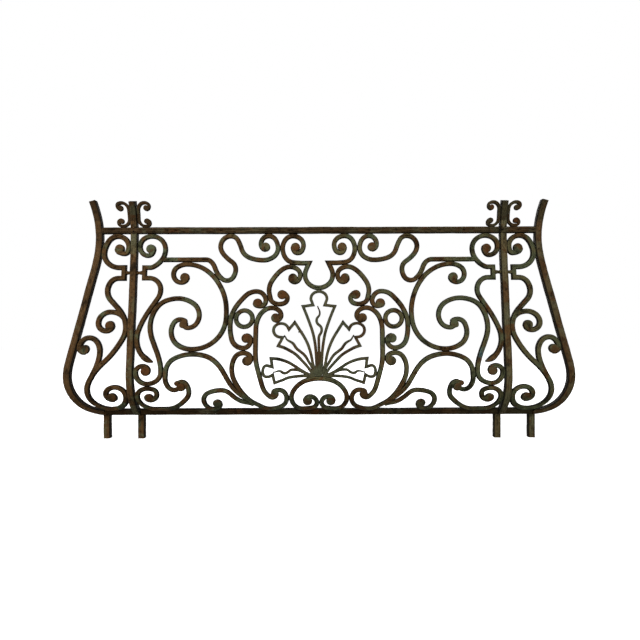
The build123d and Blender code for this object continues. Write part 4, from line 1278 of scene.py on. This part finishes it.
def upright_line(x):
    """Points up a corner post and its thickness there, drawn thin where the top rail crosses it."""
    points, _ = section_points()
    points = [(forward, z) for forward, z in points if not PANEL_TOP - RING_STEP < z < RAIL_TOP + RING_STEP]
    crossing = (PANEL_TOP - SEAT, PANEL_TOP + SEAT, RAIL_TOP - SEAT, RAIL_TOP + SEAT)
    points = sorted(points + [(NECK_FORWARD, z) for z in crossing], key=lambda point: point[1])
    thick = [LAP_share if PANEL_TOP < z < RAIL_TOP else 1.0 for _, z in points]
    return [(x, -forward, z) for forward, z in points], thick


def post_piece(word, mirror, iron):
    bars = Bars()
    points, thick = upright_line(MIDDLE + mirror * BAY_HALF)
    soot = [POST_HORN_SOOT_share * (z > RAIL_TOP + RAIL) for _, _, z in points]
    bars.line(points, thick=thick, soot=soot)
    forge(word + "corner_post", bars, iron, POST, POST, EDGE, SIDEWARD, lowest=FOOT_LENGTH + SEAT)


def end_bar_piece(word, mirror, shell, iron):
    bars = Bars()
    flat, _ = walk(end_bar_chain(), POST)
    soot = [END_HORN_SOOT_share * (z > RAIL_TOP + RAIL) for _, z in flat]
    bars.line([(MIDDLE + mirror * across, 0.0, z) for across, z in flat], soot=soot)
    forge(word + "end_bar", bars, iron, POST, POST, EDGE, shell=shell)


def foot_pieces(word, mirror, iron):
    end_foot = BAY_HALF + FOOT_OUT_share * WING_WIDTH
    for name, across in (("corner_foot", CORNER_FOOT), ("end_foot", end_foot)):
        bars = Bars()
        x = MIDDLE + mirror * across
        bars.line(straight((x, 0.0, 0.0), (x, 0.0, FOOT_LENGTH)))
        forge(word + name, bars, iron, POST, POST, EDGE)


def stud_piece(word, mirror, iron):
    """Beaded studs that tie the square notches to both sides of a post."""
    bars = Bars()
    slope = section_chain()[2]
    forward = slope[0][0] + (STUD_HEIGHT - slope[0][1]) / math.tan(slope[1])
    inner, outer = lyre_notch_share * BAY_HALF, BAY_HALF + wing_notch_share * WING_WIDTH
    for first, last in ((inner, BAY_HALF), (BAY_HALF, outer)):
        points = straight((MIDDLE + mirror * first, -forward, STUD_HEIGHT),
                          (MIDDLE + mirror * last, -forward, STUD_HEIGHT))
        beads = [STUD_WAIST_share + STUD_BEAD_share * (index % 2) for index in range(len(points))]
        bars.line(points, thick=beads)
    forge(word + "notch_studs", bars, iron, STUD, STUD, STUD_EDGE_share * STUD)


# Stage

def seen_rays(tree):
    """1 for rays of the eye, of reflections and those that pass through, 0 for the light on the object."""
    ray = tree.nodes.new("ShaderNodeLightPath").outputs
    through = sums(tree, "MAXIMUM", ray["Is Glossy Ray"], ray["Is Transmission Ray"])
    return sums(tree, "MAXIMUM", ray["Is Camera Ray"], through)


def white_world():
    """White for the eye, and a low grey fill for the object."""
    world = bpy.data.worlds.new("studio")
    bpy.context.scene.world = world
    world.use_nodes = True
    tree = world.node_tree
    strength = sums(tree, "MULTIPLY_ADD", seen_rays(tree), 1 - WORLD_FILL, WORLD_FILL)
    tree.links.new(strength, tree.nodes["Background"].inputs["Strength"])
    tree.nodes["Background"].inputs["Color"].default_value = WHITE


def floor_paint():
    """Pale to the eye, fading to white away from the guard, and darker to the light."""
    material = bpy.data.materials.new("pale floor")
    material.use_nodes = True
    tree = material.node_tree
    shader = tree.nodes["Principled BSDF"]
    shader.inputs["Roughness"].default_value = 1.0
    shader.inputs["Specular IOR Level"].default_value = 0.0
    shader.inputs["Emission Color"].default_value = WHITE
    seen = seen_rays(tree)
    tree.links.new(blend(tree, seen, FLOOR_SHADE, FLOOR_COLOUR), shader.inputs["Base Color"])
    place = tree.nodes.new("ShaderNodeTexCoord").outputs["Object"]
    away = vectors(tree, "LENGTH", vectors(tree, "SUBTRACT", place, (MIDDLE, 0.0, 0.0)))
    glow = sums(tree, "MULTIPLY_ADD", ramp(tree, away, *FLOOR_FADE), FLOOR_GLOW_MORE, FLOOR_GLOW_NEAR)
    tree.links.new(sums(tree, "MULTIPLY", seen, glow), shader.inputs["Emission Strength"])
    return material


def pale_floor():
    """Pale floor that keeps a soft shadow near the feet and fades to white behind."""
    size = FLOOR_HALF
    corners = [(-size, -size, 0.0), (size, -size, 0.0), (size, size, 0.0), (-size, size, 0.0)]
    mesh = bpy.data.meshes.new("floor")
    mesh.from_pydata(corners, [], [(0, 1, 2, 3)])
    mesh.materials.append(floor_paint())
    new_object("floor", mesh)


def lamp(name, place, size, power):
    """Round area lamp that looks at the middle of the guard."""
    light = bpy.data.lights.new(name, "AREA")
    light.shape = "DISK"
    light.size = size
    light.energy = power
    shape = new_object(name, light)
    shape.location = place
    aim = Vector((MIDDLE, -NECK_FORWARD, AIM_HEIGHT)) - Vector(place)
    shape.rotation_euler = aim.to_track_quat("-Z", "Y").to_euler()


def photo_camera():
    """Level camera in front of the guard, for a square picture."""
    camera = bpy.data.cameras.new("camera")
    camera.sensor_width = SENSOR
    camera.lens = SENSOR * FOCAL_share
    shape = new_object("camera", camera)
    shape.location = (MIDDLE + CAMERA_ACROSS, -NECK_FORWARD - RAIL / 2 - CAMERA_AWAY, CAMERA_HEIGHT)
    shape.rotation_euler = (math.pi / 2, CAMERA_ROLL, 0.0)
    bpy.context.scene.camera = shape


FORGING = forging_tree()
SHELL = shell_sheet()
GREEN, PETAL, BROWN = scroll_iron(), petal_iron(), post_iron()
ENDS, DARK = end_bar_iron(), rail_iron()
middle_scrolls(SHELL, GREEN)
for half in HALVES:
    single_scrolls(*half, SHELL, GREEN)
    joined_scrolls(*half, SHELL, GREEN)
    finial_pieces(*half, SHELL, DARK)
ring_pieces(SHELL, GREEN)
palmette_piece(SHELL, PETAL)
rail_pieces(DARK)
for half in HALVES:
    post_piece(*half, BROWN)
    end_bar_piece(*half, SHELL, ENDS)
    foot_pieces(*half, BROWN)
    stud_piece(*half, BROWN)
bpy.data.objects.remove(SHELL)

white_world()
pale_floor()
for row in LAMPS:
    lamp(*row)
photo_camera()
bpy.context.scene.view_settings.view_transform = "Standard"
